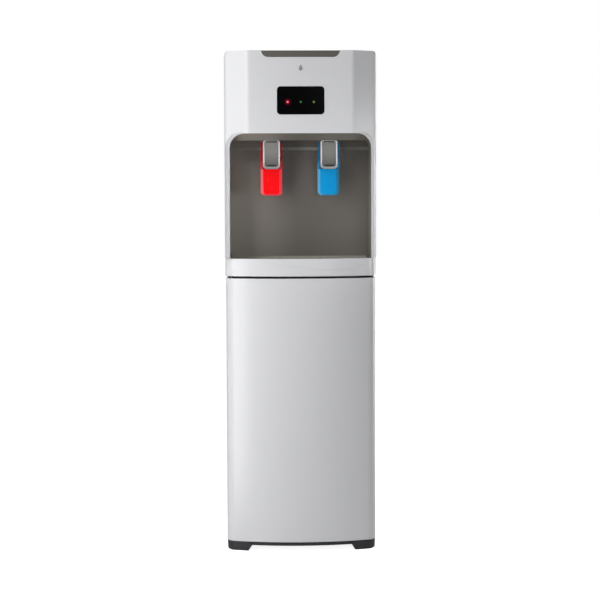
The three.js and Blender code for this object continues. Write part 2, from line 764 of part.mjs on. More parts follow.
function addFan(front) {
  const centre = [0, COOL_Z];
  const back = front + 15;
  const struts = [0, 90].map((degrees) => {
    const bar = new THREE.BoxGeometry(88, 3, 5).rotateY(radians(degrees + 45));
    return solidOf(bar.translate(0, back - 1.5, COOL_Z));
  });
  const square = roundedRectangle(
    -FAN_HALF,
    FAN_HALF,
    COOL_Z - FAN_HALF,
    COOL_Z + FAN_HALF,
    5,
  );
  const shell = cut(
    prism("y", square, front, back),
    rod("y", 43, front - 1, back + 1, centre, 40),
  );
  const hub = rod("y", 16, back - 3, back, centre);
  const shaft = rod("y", 1.5, front + 3, back - 1, centre, 12);
  add("fan_frame", join(shell, struts, hub, shaft), BLACK, 0.5);

  const blades = Array.from({ length: 7 }, (_, i) => {
    const blade = new THREE.BoxGeometry(27, 1.6, 18).rotateX(radians(35));
    const turn = (i * 2 * Math.PI) / 7;
    return solidOf(blade.translate(27, 0, 0).rotateY(turn).translate(0, front + 6, COOL_Z));
  });
  const rotor = join(rod("y", 15, front + 1, back - 3.5, centre), blades);
  add("fan_rotor", cut(rotor, rod("y", 2, front, back, centre, 12)), BLACK, 0.4);

  const guardFront = PANEL_REAR + GAP;
  const guardBack = DEPTH / 2;
  const wire = guardBack - 3;
  const rings = [16, 34].map((radius) => {
    return ring("y", radius + 1.5, radius - 1.5, wire, guardBack, centre, 18);
  });
  const spokes = [0, 60, 120].map((degrees) => {
    const bar = new THREE.BoxGeometry(108, 3, 3).rotateY(radians(degrees));
    return solidOf(bar.translate(0, guardBack - 1.5, COOL_Z));
  });
  const rim = ring("y", 55, 51, guardFront, guardBack, centre, 30);
  add("fan_guard", join(rim, rings, spokes), DARK, 0.5);
}

function addHotTank() {
  const bottom = HOT_BOTTOM;
  const top = HOT_TOP;
  add("hot_tank", vessel(HOT_TANK, HOT_RADIUS, bottom, top, SHEET, 10), STEEL, 0.25, 0.9);
  const jacket = cut(
    rod("z", HOT_RADIUS + 13, bottom - 12, top - 2, HOT_TANK, 40),
    rod("z", HOT_RADIUS + 0.5, bottom - 0.5, top, HOT_TANK, 40),
    rod("z", 7.5, bottom - 14, bottom, HOT_TANK),
  );
  add("hot_tank_jacket", jacket, 0x9aa0a6, 0.9);

  const [x, y] = HOT_TANK;
  const end = PANEL_REAR + 3.6;
  const spout = cut(
    join(rod("z", 7, DRAIN_Z, bottom - GAP, HOT_TANK), rod("y", 8, y - 8, end, [x, DRAIN_Z])),
    rod("z", 1.9, DRAIN_Z, bottom + 1, HOT_TANK, 12),
    rod("y", 1.9, y, end + 1, [x, DRAIN_Z], 12),
  );
  add("drain_spout", spout, 0xd4d4cf, 0.5);
  const cap = cut(
    prism("y", arc(x, DRAIN_Z, 12, 0, 330, 11), PANEL_REAR + 0.6, DEPTH / 2),
    rod("y", 8.6, PANEL_REAR, end + 0.5, [x, DRAIN_Z]),
  );
  add("drain_cap", cap, DARK, 0.6);
}

function addPump() {
  const body = join(
    block(50, 110, -20, 60, DECK_TOP + GAP, 582),
    block(56, 104, -14, 20, 580, 616),
    rod("y", 17, 18, 62, [80, 600]),
    rod("z", 5, 610, 624, [80, 3], 16),
    rod("x", 5, 46, 58, [3, 595], 16),
  );
  add("pump", body, DARK, 0.5);
}

function addProbe() {
  const rodRadius = 9;
  const profile = [
    point(0, 60),
    point(6, 60),
    point(rodRadius, 68),
    point(rodRadius, 515),
    point(26, 518),
    point(26, 534),
    point(14, 537),
    point(6, PROBE_TOP),
    point(0, PROBE_TOP),
  ];
  add("bottle_probe", turned(profile, PROBE, 16), 0xf0f1f2, 0.4);
  const [x, y] = PROBE;
  const rear = PANEL_REAR - SHEET - GAP;
  const clip = cut(
    block(x - 13, x + 13, y - 2, rear, 290, 320),
    rod("z", rodRadius + 0.4, 289, 321, PROBE, 24),
  );
  add("probe_clip", clip, 0xd9dadd, 0.5);
}

function addHoses() {
  const stud = NICHE_BACK + 20.4;
  const [hotX, hotY] = HOT_TANK;
  const [probeX, probeY] = PROBE;
  const routes = {
    hot_hose: [
      [hotX, hotY, HOT_TOP + 0.8],
      [hotX, hotY - 6, HOT_TOP + 25],
      [hotX + 4, 20, 838],
      [-TAP_X, -12, 823],
      [-TAP_X, stud + 8, NECK_Z],
      [-TAP_X, stud, NECK_Z],
    ],
    cold_hose: [
      [45, 20, 885],
      [45, 18, 855],
      [54, 4, 832],
      [TAP_X, -14, 822],
      [TAP_X, stud + 8, NECK_Z],
      [TAP_X, stud, NECK_Z],
    ],
    transfer_hose: [
      [-40, 40, 885],
      [-40, 40, 872],
      [-58, 80, 846],
      [-88, 90, 828],
      [-92, 84, HOT_TOP + 8],
      [-92, 84, HOT_TOP + 0.8],
    ],
    riser_hose: [
      [80, 3, 624.6],
      [80, 3, 636],
      [112, 6, 720],
      [116, 8, 880],
      [112, 10, 985],
      [86, 11, 1020],
      [40, TANK_Y, 1024],
      [3, TANK_Y, 1012],
      [0, TANK_Y, TANK_TOP + 0.8],
    ],
    suction_hose: [
      [probeX, probeY, PROBE_TOP + 0.6],
      [probeX, probeY - 1, 575],
      [-100, 118, 596],
      [-20, 60, 596],
      [16, 14, 595],
      [38, 3, 595],
      [45.4, 3, 595],
    ],
  };
  for (const [name, stops] of Object.entries(routes)) {
    add(name, hose(4.5, 3 * stops.length, ...stops), SILICONE, 0.5);
  }
}

function addElectrics() {
  add("power_supply", block(90, 148, 80, 158, 660, 800), 0x9ba1a6, 0.4, 0.7);
  const z = REAR_ROW_Z;
  const outside = PANEL_REAR + GAP;
  const [left, right] = SWITCH_X;
  const pockets = SWITCH_X.map((x) => {
    return block(x - 6.6, x + 6.6, 152, PANEL_REAR + 4, z - 10.2, z + 10.2);
  });
  const bearings = rod("x", 1.8, left - 9, right + 9, [PANEL_REAR - 1.5, z], 12);
  const housing = cut(
    join(
      block(left - 11, right + 11, 140, PANEL_REAR + 1, z - 13, z + 13),
      block(left - 14, right + 14, outside, PANEL_REAR + 2, z - 15.5, z + 15.5),
    ),
    pockets,
    bearings,
  );
  add("switch_housing", housing, BLACK, 0.5);
  const rocker = [
    point(-8, -6),
    point(3, -8.8),
    point(1.8, 0),
    point(3, 8.8),
    point(-8, 6),
  ].map((p) => p.rotateAround(point(0, 0), radians(-8)).add(point(PANEL_REAR - 1.5, z)));
  for (const [name, x] of [["switch_hot", left], ["switch_cold", right]]) {
    const button = join(
      prism("x", rocker, x - 6, x + 6),
      rod("x", 1.4, x - 8, x + 8, [PANEL_REAR - 1.5, z], 12),
    );
    add(name, button, name === "switch_hot" ? 0xb3202a : 0x1c6f2e, 0.35);
  }
  const shell = join(
    block(INLET_X - 15, INLET_X + 15, 145, PANEL_REAR + 1, z - 12.5, z + 12.5),
    block(INLET_X - 20, INLET_X + 20, outside, PANEL_REAR + 2.3, z - 15, z + 15),
  );
  const socket = block(INLET_X - 12, INLET_X + 12, 150, PANEL_REAR + 4, z - 8.5, z + 8.5);
  const blades = [[-7, -2], [7, -2], [0, 4]].map(([dx, dz]) => {
    const x = INLET_X + dx;
    return block(x - 1, x + 1, 149, 164, z + dz - 2, z + dz + 2);
  });
  add("power_inlet", join(cut(shell, socket), blades), BLACK, 0.5);
}

addPlinth();
addPanels();
addHeadShell();
addTopCover();
addIndicators();
addNicheLiner();
addTray();
addTap("hot", -TAP_X, 0xe01b22);
addTap("cold", TAP_X, 0x0d84c8);
addDoor();
addCooling();
addHotTank();
addPump();
addProbe();
addHoses();
addElectrics();

export default cooler;
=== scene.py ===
"""A floor-standing bottom-loading water cooler, dressed for a studio render.

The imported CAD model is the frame. Its nodes keep their place and get softened edges and procedural
materials. Coils replace its two plain lever springs, and the pieces that it leaves out, such as screws,
beads, louvres and wires, are added here. Metres, +X to the right, -Y out of the front, +Z up.
"""

import json
import math

import bmesh
import bpy
from mathutils import Matrix, Vector


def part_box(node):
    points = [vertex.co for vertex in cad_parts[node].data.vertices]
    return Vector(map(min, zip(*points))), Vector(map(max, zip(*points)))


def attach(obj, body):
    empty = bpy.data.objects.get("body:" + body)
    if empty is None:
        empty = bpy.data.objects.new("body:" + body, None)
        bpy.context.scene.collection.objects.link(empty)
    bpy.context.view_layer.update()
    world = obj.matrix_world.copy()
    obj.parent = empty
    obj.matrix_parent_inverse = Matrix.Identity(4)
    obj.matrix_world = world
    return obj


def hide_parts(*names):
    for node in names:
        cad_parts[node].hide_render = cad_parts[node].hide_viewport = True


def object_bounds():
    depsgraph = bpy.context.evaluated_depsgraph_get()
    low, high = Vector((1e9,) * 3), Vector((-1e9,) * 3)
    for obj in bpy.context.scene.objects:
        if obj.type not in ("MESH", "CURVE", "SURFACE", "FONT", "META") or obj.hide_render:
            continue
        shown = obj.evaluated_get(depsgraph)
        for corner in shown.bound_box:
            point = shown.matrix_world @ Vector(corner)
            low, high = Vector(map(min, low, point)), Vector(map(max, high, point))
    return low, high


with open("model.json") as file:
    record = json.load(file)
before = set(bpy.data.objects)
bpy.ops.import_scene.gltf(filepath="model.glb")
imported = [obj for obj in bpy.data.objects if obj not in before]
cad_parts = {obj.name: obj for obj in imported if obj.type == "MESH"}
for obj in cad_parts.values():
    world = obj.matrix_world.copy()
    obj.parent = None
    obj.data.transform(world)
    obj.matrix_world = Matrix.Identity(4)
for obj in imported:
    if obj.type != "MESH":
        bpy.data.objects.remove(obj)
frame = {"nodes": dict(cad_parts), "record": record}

CAD_LOW, CAD_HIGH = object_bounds()
NODES = frame["nodes"]
MM = 0.001


# ---- Camera ----

EYE_HEIGHT = 0.7775
EYE_DISTANCE = 3.6
EYE_YAW = math.radians(-1.8)
FOCAL_LENGTH = 104.7
FRAME_SHIFT = -0.055
AIM_HEIGHT = 0.5942
AIM_SIDE = -0.0027
ROLL = math.radians(-0.2)


def make_camera():
    data = bpy.data.cameras.new("camera")
    camera = bpy.data.objects.new("camera", data)
    bpy.context.collection.objects.link(camera)
    front = CAD_LOW.y
    aim = Vector((AIM_SIDE, front, AIM_HEIGHT))
    away = Vector((math.sin(EYE_YAW), -math.cos(EYE_YAW), 0.0)) * EYE_DISTANCE
    camera.location = Vector((AIM_SIDE, front, EYE_HEIGHT)) + away
    look = (aim - camera.location).to_track_quat("-Z", "Y")
    camera.rotation_mode = "QUATERNION"
    camera.rotation_quaternion = look @ Matrix.Rotation(ROLL, 3, "Z").to_quaternion()
    data.lens = FOCAL_LENGTH
    data.shift_y = FRAME_SHIFT
    bpy.context.scene.camera = camera


# ---- Studio ----

def area_light(name, place, aim, size, power, spread_angle):
    data = bpy.data.lights.new(name, "AREA")
    data.shape = "RECTANGLE"
    data.size, data.size_y = size
    data.energy = power
    data.spread = math.radians(spread_angle)
    light = bpy.data.objects.new(name, data)
    light.visible_camera = False
    light.location = place
    light.rotation_mode = "QUATERNION"
    light.rotation_quaternion = (Vector(aim) - Vector(place)).to_track_quat("-Z", "Y")
    bpy.context.collection.objects.link(light)


FLOOR_LIFT = 0.90


def floor_material():
    """A pale matte floor, lifted to paper white for the camera only."""
    material = surface("studio_floor", (0.80, 0.80, 0.80), 0.8, grain=0.004, depth=0.02)
    tree = material.node_tree
    path = tree.nodes.new("ShaderNodeLightPath")
    lift = tree.nodes.new("ShaderNodeMath")
    lift.operation = "MULTIPLY"
    lift.inputs[1].default_value = FLOOR_LIFT
    tree.links.new(path.outputs["Is Camera Ray"], lift.inputs[0])
    shader = shader_of(material)
    shader.inputs["Emission Color"].default_value = (1.0, 1.0, 1.0, 1.0)
    tree.links.new(lift.outputs["Value"], shader.inputs["Emission Strength"])
    return material


MIDDLE = (0.0, 0.0, 0.55)
FULL_SPREAD = 180
# Place, aim, width and height, power in watts, and spread in degrees
LIGHTS = {
    "key": ((-2.6, -0.9, 1.75), MIDDLE, (1.4, 2.2), 16, FULL_SPREAD),
    "strip": ((-0.53, -0.62, 0.72), (0.0, -0.1, 0.68), (0.3, 1.5), 5.0, FULL_SPREAD),
    "front": ((0.9, -3.6, 1.0), MIDDLE, (1.4, 1.2), 9, FULL_SPREAD),
    "top": ((0.0, -0.6, 3.2), MIDDLE, (2.4, 2.4), 8, FULL_SPREAD),
    "edge": ((1.9, -0.9, 0.8), MIDDLE, (0.6, 2.2), 6, FULL_SPREAD),
    "rim": ((1.7, 1.1, 0.75), MIDDLE, (0.5, 2.0), 15, FULL_SPREAD),
    "niche": ((1.2, -0.62, 0.67), (-0.13, -0.07, 0.77), (0.26, 0.22), 0.10, 18),
}
WORLD_TINT = (0.96, 0.98, 1.0, 1.0)
WORLD_STRENGTH = 0.15
FLOOR_SPAN = 14.0


def make_world():
    """A dim world that the camera itself sees as plain white."""
    world = bpy.data.worlds.new("studio")
    bpy.context.scene.world = world
    world.use_nodes = True
    nodes, links = world.node_tree.nodes, world.node_tree.links
    nodes.clear()
    output = nodes.new("ShaderNodeOutputWorld")
    seen = nodes.new("ShaderNodeBackground")
    seen.inputs["Color"].default_value = (1.0, 1.0, 1.0, 1.0)
    seen.inputs["Strength"].default_value = 1.0
    lit = nodes.new("ShaderNodeBackground")
    lit.inputs["Color"].default_value = WORLD_TINT
    lit.inputs["Strength"].default_value = WORLD_STRENGTH
    path = nodes.new("ShaderNodeLightPath")
    mix = nodes.new("ShaderNodeMixShader")
    links.new(path.outputs["Is Camera Ray"], mix.inputs["Fac"])
    links.new(lit.outputs["Background"], mix.inputs[1])
    links.new(seen.outputs["Background"], mix.inputs[2])
    links.new(mix.outputs["Shader"], output.inputs["Surface"])


def make_floor():
    mesh = bpy.data.meshes.new("floor")
    reach = FLOOR_SPAN
    corners = [(-reach, -reach, 0.0), (reach, -reach, 0.0), (reach, reach, 0.0), (-reach, reach, 0.0)]
    mesh.from_pydata(corners, [], [(0, 1, 2, 3)])
    floor = bpy.data.objects.new("floor", mesh)
    bpy.context.collection.objects.link(floor)
    mesh.materials.append(floor_material())


def make_studio():
    for name, settings in LIGHTS.items():
        area_light(name, *settings)
    make_world()
    make_floor()
    view = bpy.context.scene.view_settings
    view.view_transform = "Standard"
    view.look = "None"


# ---- Materials ----

def shader_of(material):
    return material.node_tree.nodes["Principled BSDF"]


def noise(tree, size, detail, stretch=None):
    coordinates = tree.nodes.new("ShaderNodeTexCoord")
    texture = tree.nodes.new("ShaderNodeTexNoise")
    texture.inputs["Scale"].default_value = 1.0 / size
    texture.inputs["Detail"].default_value = detail
    source = coordinates.outputs["Object"]
    if stretch:
        mapping = tree.nodes.new("ShaderNodeMapping")
        mapping.inputs["Scale"].default_value = stretch
        tree.links.new(source, mapping.inputs["Vector"])
        source = mapping.outputs["Vector"]
    tree.links.new(source, texture.inputs["Vector"])
    return texture.outputs["Fac"]


def spread(tree, value, low, high):
    """The middle of a noise, spread between two values."""
    ranged = tree.nodes.new("ShaderNodeMapRange")
    ranged.inputs["From Min"].default_value = 0.3
    ranged.inputs["From Max"].default_value = 0.7
    ranged.inputs["To Min"].default_value = low
    ranged.inputs["To Max"].default_value = high
    tree.links.new(value, ranged.inputs["Value"])
    return ranged.outputs["Result"]


GRAIN_RELIEF = 0.0006
GLOSS_PATCH = 0.03
COLOR_PATCH = 0.09
COAT_ROUGHNESS = 0.06


def surface(
    name,
    color,
    roughness,
    metallic=0.0,
    grain=0.0012,
    depth=0.05,
    wander=0.05,
    tint=0.02,
    stretch=None,
    coat=0.0,
    gleam=0.5,
):
    """A material with fine grain in its relief, wandering gloss and a slight drift of colour."""
    material = bpy.data.materials.new(name)
    material.use_nodes = True
    tree = material.node_tree
    shader = shader_of(material)
    shader.inputs["Metallic"].default_value = metallic
    shader.inputs["Specular IOR Level"].default_value = gleam
    shader.inputs["Coat Weight"].default_value = coat
    shader.inputs["Coat Roughness"].default_value = COAT_ROUGHNESS

    bump = tree.nodes.new("ShaderNodeBump")
    bump.inputs["Strength"].default_value = depth
    bump.inputs["Distance"].default_value = GRAIN_RELIEF
    tree.links.new(noise(tree, grain, 3.0, stretch), bump.inputs["Height"])
    tree.links.new(bump.outputs["Normal"], shader.inputs["Normal"])

    low, high = max(roughness - wander, 0.02), min(roughness + wander, 1.0)
    gloss = spread(tree, noise(tree, GLOSS_PATCH, 4.0, stretch), low, high)
    tree.links.new(gloss, shader.inputs["Roughness"])

    drift = tree.nodes.new("ShaderNodeMix")
    drift.data_type = "RGBA"
    drift.inputs["A"].default_value = (*[c * (1.0 - tint) for c in color], 1.0)
    drift.inputs["B"].default_value = (*[min(c * (1.0 + tint), 1.0) for c in color], 1.0)
    tree.links.new(noise(tree, COLOR_PATCH, 2.0), drift.inputs["Factor"])
    tree.links.new(drift.outputs["Result"], shader.inputs["Base Color"])
    return material


WHITE_GLOSS = {"grain": 0.0009, "depth": 0.03, "wander": 0.015, "tint": 0.004}
LEVER_GLOSS = {"grain": 0.0009, "depth": 0.03, "coat": 0.15, "gleam": 0.3}
FACE_GLOSS = {"grain": 0.0009, "depth": 0.02, "tint": 0.01, "gleam": 0.12}
LAMP_GLOSS = {"gleam": 0.1}
BRUSHED_UP = (1, 1, 0.08)
BRUSHED_ROUND = (1, 1, 14)
BRUSHED_ACROSS = (14, 1, 1)

# Colour, roughness, and what differs from a plain surface
FINISHES = {
    "white_plastic": ((0.72, 0.72, 0.733), 0.30, {**WHITE_GLOSS, "coat": 0.2}),
    # Painted shade: a darker copy of the white plastic, for the niche's raised edge
    "rim_white_painted_shade": ((0.585, 0.585, 0.60), 0.34, WHITE_GLOSS),
    "white_steel": (
        (0.72, 0.72, 0.73), 0.40, {"grain": 0.0016, "depth": 0.10, "wander": 0.02, "tint": 0.004},
    ),
    "taupe_plastic": ((0.31, 0.282, 0.25), 0.40, {"grain": 0.0007, "depth": 0.14, "tint": 0.04}),
    "lid_taupe": ((0.117, 0.107, 0.095), 0.46, {"grain": 0.0007, "depth": 0.16, "tint": 0.05}),
    # Glossier than the niche's taupe. Its lighter colour is painted light falling on the tray from above.
    "tray_taupe_painted_light": ((0.46, 0.43, 0.39), 0.14, {"grain": 0.0007, "depth": 0.02, "tint": 0.03, "coat": 0.3}),
    # Painted light: a lighter grey for the plate on the niche's step
    "step_painted_light_grey": ((0.36, 0.345, 0.32), 0.30, {"grain": 0.0007, "depth": 0.05, "tint": 0.03}),
    "dark_plastic": ((0.022, 0.023, 0.026), 0.48, {"grain": 0.0008, "depth": 0.15, "tint": 0.08}),
    "gasket": ((0.30, 0.30, 0.31), 0.62, {"grain": 0.001, "depth": 0.2, "tint": 0.05}),
    "tap_grey": (
        (0.20, 0.20, 0.19), 0.36, {"grain": 0.0005, "depth": 0.05, "tint": 0.03, "stretch": BRUSHED_UP},
    ),
    "silver_plastic": ((0.80, 0.78, 0.79), 0.24, {"metallic": 0.25, "grain": 0.0005, "depth": 0.03}),
    "lever_red": ((0.86, 0.035, 0.05), 0.24, LEVER_GLOSS),
    "face_red": ((0.95, 0.004, 0.008), 0.26, FACE_GLOSS),
    "lever_blue": ((0.05, 0.34, 0.62), 0.24, LEVER_GLOSS),
    "face_blue": ((0.0, 0.36, 0.78), 0.26, FACE_GLOSS),
    "emblem_grey": ((0.28, 0.29, 0.31), 0.3, {"grain": 0.0006, "depth": 0.03}),
    "window_black": (
        (0.002, 0.002, 0.0024), 0.08, {"grain": 0.002, "depth": 0.004, "wander": 0.03, "gleam": 0.06},
    ),
    "lamp_red": ((0.5, 0.02, 0.05), 0.3, LAMP_GLOSS),
    "lamp_green": ((0.01, 0.04, 0.01), 0.3, LAMP_GLOSS),
    "lamp_lime": ((0.02, 0.05, 0.01), 0.3, LAMP_GLOSS),
    "board_green": ((0.01, 0.11, 0.04), 0.35, {"grain": 0.002, "depth": 0.2, "coat": 0.4}),
    "stainless": (
        (0.62, 0.63, 0.65), 0.24, {"metallic": 1.0, "grain": 0.0016, "depth": 0.12, "stretch": BRUSHED_ROUND},
    ),
    "zinc_steel": (
        (0.56, 0.57, 0.58), 0.36,
        {"metallic": 1.0, "grain": 0.004, "depth": 0.12, "wander": 0.1, "tint": 0.08},
    ),
    "dark_steel": ((0.10, 0.10, 0.105), 0.45, {"metallic": 0.8, "grain": 0.001, "depth": 0.1, "tint": 0.06}),
    "aluminium": (
        (0.70, 0.71, 0.73), 0.32,
        {"metallic": 1.0, "grain": 0.0012, "depth": 0.10, "stretch": BRUSHED_ACROSS},
    ),
    "ceramic": ((0.82, 0.82, 0.80), 0.5, {"grain": 0.0008, "depth": 0.1}),
    "foam": ((0.78, 0.72, 0.52), 0.92, {"grain": 0.0032, "depth": 0.9, "tint": 0.06}),
    "jacket": ((0.30, 0.32, 0.34), 0.9, {"grain": 0.0024, "depth": 0.8, "tint": 0.07}),
    "silicone": ((0.72, 0.75, 0.74), 0.35, {"grain": 0.003, "depth": 0.05, "coat": 0.2}),
    "valve_rubber": ((0.42, 0.40, 0.37), 0.6, {"grain": 0.001, "depth": 0.15}),
    "light_plastic": ((0.66, 0.66, 0.68), 0.42, {"grain": 0.0008, "depth": 0.10}),
}
MATERIALS = {
    name: surface(name, color, roughness, **details)
    for name, (color, roughness, details) in FINISHES.items()
}

# The record's slot for a finish that only this scene tells apart
NODE_FINISH = {
    "top_cover": "lid_taupe",
    # The tray and grille get a glossier taupe whose lighter colour is painted light.
    "drip_grille": "tray_taupe_painted_light",
    "drip_tray": "tray_taupe_painted_light",
    "hinge_pin_upper": "dark_steel",
    "hinge_pin_lower": "dark_steel",
}


def place_of(node):
    low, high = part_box(node)
    return (low + high) / 2


def side_name(side):
    return "left" if side < 0 else "right"


def object_axis(tree, axis):
    """A coordinate of the point being shaded, in the CAD frame."""
    coordinates = tree.nodes.new("ShaderNodeTexCoord")
    parts = tree.nodes.new("ShaderNodeSeparateXYZ")
    tree.links.new(coordinates.outputs["Object"], parts.inputs["Vector"])
    return parts.outputs[axis]


def set_painted_glow(material, color, strength):
    shader = shader_of(material)
    shader.inputs["Emission Color"].default_value = (*color, 1.0)
    shader.inputs["Emission Strength"].default_value = strength


def glow_round(material, centre, radius, color, strength):
    """Light that fades with the distance from a centre."""
    tree = material.node_tree
    coordinates = tree.nodes.new("ShaderNodeTexCoord")
    away = tree.nodes.new("ShaderNodeVectorMath")
    away.operation = "DISTANCE"
    away.inputs[1].default_value = centre
    tree.links.new(coordinates.outputs["Object"], away.inputs[0])
    fade = tree.nodes.new("ShaderNodeMapRange")
    fade.interpolation_type = "SMOOTHERSTEP"
    fade.inputs["From Min"].default_value = 0.0
    fade.inputs["From Max"].default_value = radius
    fade.inputs["To Min"].default_value = strength
    fade.inputs["To Max"].default_value = 0.0
    tree.links.new(away.outputs["Value"], fade.inputs["Value"])
    shader = shader_of(material)
    shader.inputs["Emission Color"].default_value = (*color, 1.0)
    tree.links.new(fade.outputs["Result"], shader.inputs["Emission Strength"])


def shade_upward(material, low, high, low_color, high_color):
    """Painted light and shade: a colour that changes with height."""
    tree = material.node_tree
    ranged = tree.nodes.new("ShaderNodeMapRange")
    ranged.inputs["From Min"].default_value = low
    ranged.inputs["From Max"].default_value = high
    tree.links.new(object_axis(tree, "Z"), ranged.inputs["Value"])
    mix = tree.nodes.new("ShaderNodeMix")
    mix.data_type = "RGBA"
    mix.inputs["A"].default_value = (*low_color, 1.0)
    mix.inputs["B"].default_value = (*high_color, 1.0)
    tree.links.new(ranged.outputs["Result"], mix.inputs["Factor"])
    tree.links.new(mix.outputs["Result"], shader_of(material).inputs["Base Color"])


def shade_across(material, stops):
    """Painted shade: a colour that changes from side to side, by a strength at each place across the front.
    """
    tree = material.node_tree
    shader = shader_of(material)
    plain = shader.inputs["Base Color"].links[0].from_socket
    start, end = stops[0][0], stops[-1][0]
    ranged = tree.nodes.new("ShaderNodeMapRange")
    ranged.inputs["From Min"].default_value = start
    ranged.inputs["From Max"].default_value = end
    tree.links.new(object_axis(tree, "X"), ranged.inputs["Value"])
    ramp = tree.nodes.new("ShaderNodeValToRGB")
    ramp.color_ramp.interpolation = "EASE"
    points = ramp.color_ramp.elements
    for x, _ in stops[1:-1]:
        points.new((x - start) / (end - start))
    for point, (x, strength) in zip(points, stops):
        point.position = (x - start) / (end - start)
        point.color = (strength, strength, strength, 1.0)
    tree.links.new(ranged.outputs["Result"], ramp.inputs["Fac"])
    mix = tree.nodes.new("ShaderNodeMix")
    mix.data_type = "RGBA"
    mix.blend_type = "MULTIPLY"
    mix.inputs["Factor"].default_value = 1.0
    tree.links.new(plain, mix.inputs["A"])
    tree.links.new(ramp.outputs["Color"], mix.inputs["B"])
    tree.links.new(mix.outputs["Result"], shader.inputs["Base Color"])


LAMPS = {
    "indicator_heating": ("lamp_red", (1.0, 0.20, 0.28), 1.25),
    "indicator_cooling": ("lamp_green", (0.16, 0.42, 0.12), 0.42),
    "indicator_power": ("lamp_lime", (0.30, 0.50, 0.14), 0.62),
}
LAMP_REACH = 3.2 * MM
# Reach of a painted halo of the red lamp on the black window
PAINTED_HALO_REACH = 9 * MM
# Strength of a painted glow on the levers' faces, which are no lamps
FACE_PAINTED_GLOW = 0.12


def light_lamps():
    for node, (slot, color, strength) in LAMPS.items():
        centre = place_of(node)
        centre.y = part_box(node)[0].y
        glow_round(MATERIALS[slot], centre, LAMP_REACH, color, strength)
    # Painted light: a red halo of the heating lamp, painted on the black window round it.
    painted_halo = place_of("indicator_heating")
    painted_halo.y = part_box("display_window")[0].y
    glow_round(MATERIALS["window_black"], painted_halo, PAINTED_HALO_REACH, (1.0, 0.03, 0.08), 0.16)


def paint_front_light_and_shade():
    """Painted light and shade over the niche and the taps: slow changes of tone, the levers darker at the top
    where the brow shades them, and a faint painted glow on the levers' faces.
    """
    low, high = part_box("hot_tap_bezel")
    # Painted shade: the tap bodies' grey is darker towards the bottom and lighter towards the top.
    shade_upward(MATERIALS["tap_grey"], low.z, high.z, (0.085, 0.083, 0.076), (0.34, 0.335, 0.32))
    # Painted shade: the niche's taupe is darker in the middle than at its sides.
    shade_across(MATERIALS["taupe_plastic"], [(-0.13, 1.0), (0.0, 0.55), (0.12, 0.70)])
    # Painted shade: the bezels' silver is darker at their foot.
    silver = FINISHES["silver_plastic"][0]
    shade_upward(MATERIALS["silver_plastic"], low.z, low.z + 16 * MM, (0.26, 0.27, 0.26), silver)
    # Painted shadow: the levers are darker towards the top, where the brow shades them.
    lever_low, lever_high = high.z - 62 * MM, high.z - 40 * MM
    shade_upward(MATERIALS["lever_red"], lever_low, lever_high, (0.90, 0.05, 0.07), (0.30, 0.006, 0.012))
    shade_upward(MATERIALS["lever_blue"], lever_low, lever_high, (0.05, 0.36, 0.66), (0.0, 0.11, 0.24))
    # Painted light: the levers' faces glow faintly, though they are no lamps.
    set_painted_glow(MATERIALS["face_red"], (1.0, 0.0, 0.004), FACE_PAINTED_GLOW)
    set_painted_glow(MATERIALS["face_blue"], (0.0, 0.32, 0.8), FACE_PAINTED_GLOW)


# ---- CAD nodes: softened edges and materials ----

# Width of the softened edges in millimetres, where it isn't the common one
COMMON_EDGE = 0.3
SOFT_EDGE = {
    "head_shell": 1.6,
    "door_shell": 1.1,
    "top_cover": 1.2,
    "base_plinth": 1.2,
    "niche_liner": 0.9,
    "hot_lever": 1.4,
    "cold_lever": 1.4,
    "hot_tap_bezel": 0.8,
    "cold_tap_bezel": 0.8,
    "drip_tray": 0.6,
    "drip_grille": 0.5,
    "display_window": 0.5,
    "power_supply": 1.0,
    "pump": 1.2,
}
EDGE_ANGLE = math.radians(25)
FLAT_ANGLE = math.radians(0.6)
WELD_REACH = 0.00001


def dress_node(name, slot):
    obj = NODES[name]
    mesh = obj.data
    mesh.materials.clear()
    mesh.materials.append(MATERIALS[NODE_FINISH.get(name, slot)])
    for polygon in mesh.polygons:
        polygon.use_smooth = True
    weld = obj.modifiers.new("weld", "WELD")
    weld.merge_threshold = WELD_REACH
    flat = obj.modifiers.new("flat", "DECIMATE")
    flat.decimate_type = "DISSOLVE"
    flat.angle_limit = FLAT_ANGLE
    bevel = obj.modifiers.new("edge", "BEVEL")
    bevel.width = SOFT_EDGE.get(name, COMMON_EDGE) * MM
    bevel.segments = 3
    bevel.limit_method = "ANGLE"
    bevel.angle_limit = EDGE_ANGLE
    bevel.harden_normals = False
    bevel.use_clamp_overlap = True
    normals = obj.modifiers.new("normals", "WEIGHTED_NORMAL")
    normals.keep_sharp = True


def dress_nodes():
    for part in frame["record"]["subparts"]:
        if part["node"] in NODES:
            dress_node(part["node"], part["material_slot"])


# ---- Shapes for the added pieces ----

FRONT = CAD_LOW.y
LINER_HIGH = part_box("niche_liner")[1]
LINER_WALL = 2.5 * MM
NICHE_HALF = LINER_HIGH.x - LINER_WALL
NICHE_TOP = LINER_HIGH.z - LINER_WALL
NICHE_BACK = LINER_HIGH.y - LINER_WALL
NICHE_CORNER = 30 * MM
STEP_HEIGHT = 837.5 * MM  # above this, the niche's back wall steps forward
LEDGE_TOP = 610.7 * MM
LEDGE_HALF = 157 * MM
BOW_RADIUS = 448 * MM
LEDGE_CORNER = 25 * MM

# Plan of the head's front: a flat middle, a soft crease, a slanting facet and a rounded corner
HEAD_HALF = 157.75 * MM
FACET_HALF = 109.5 * MM
FACET_SLANT = math.atan2(20, 35)
CREASE_RADIUS = 26 * MM
FACET_FILLET = 14 * MM


def finish_piece(obj, material, body):
    obj.data.materials.append(MATERIALS[material])
    bpy.context.collection.objects.link(obj)
    if body:
        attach(obj, body)
    return obj


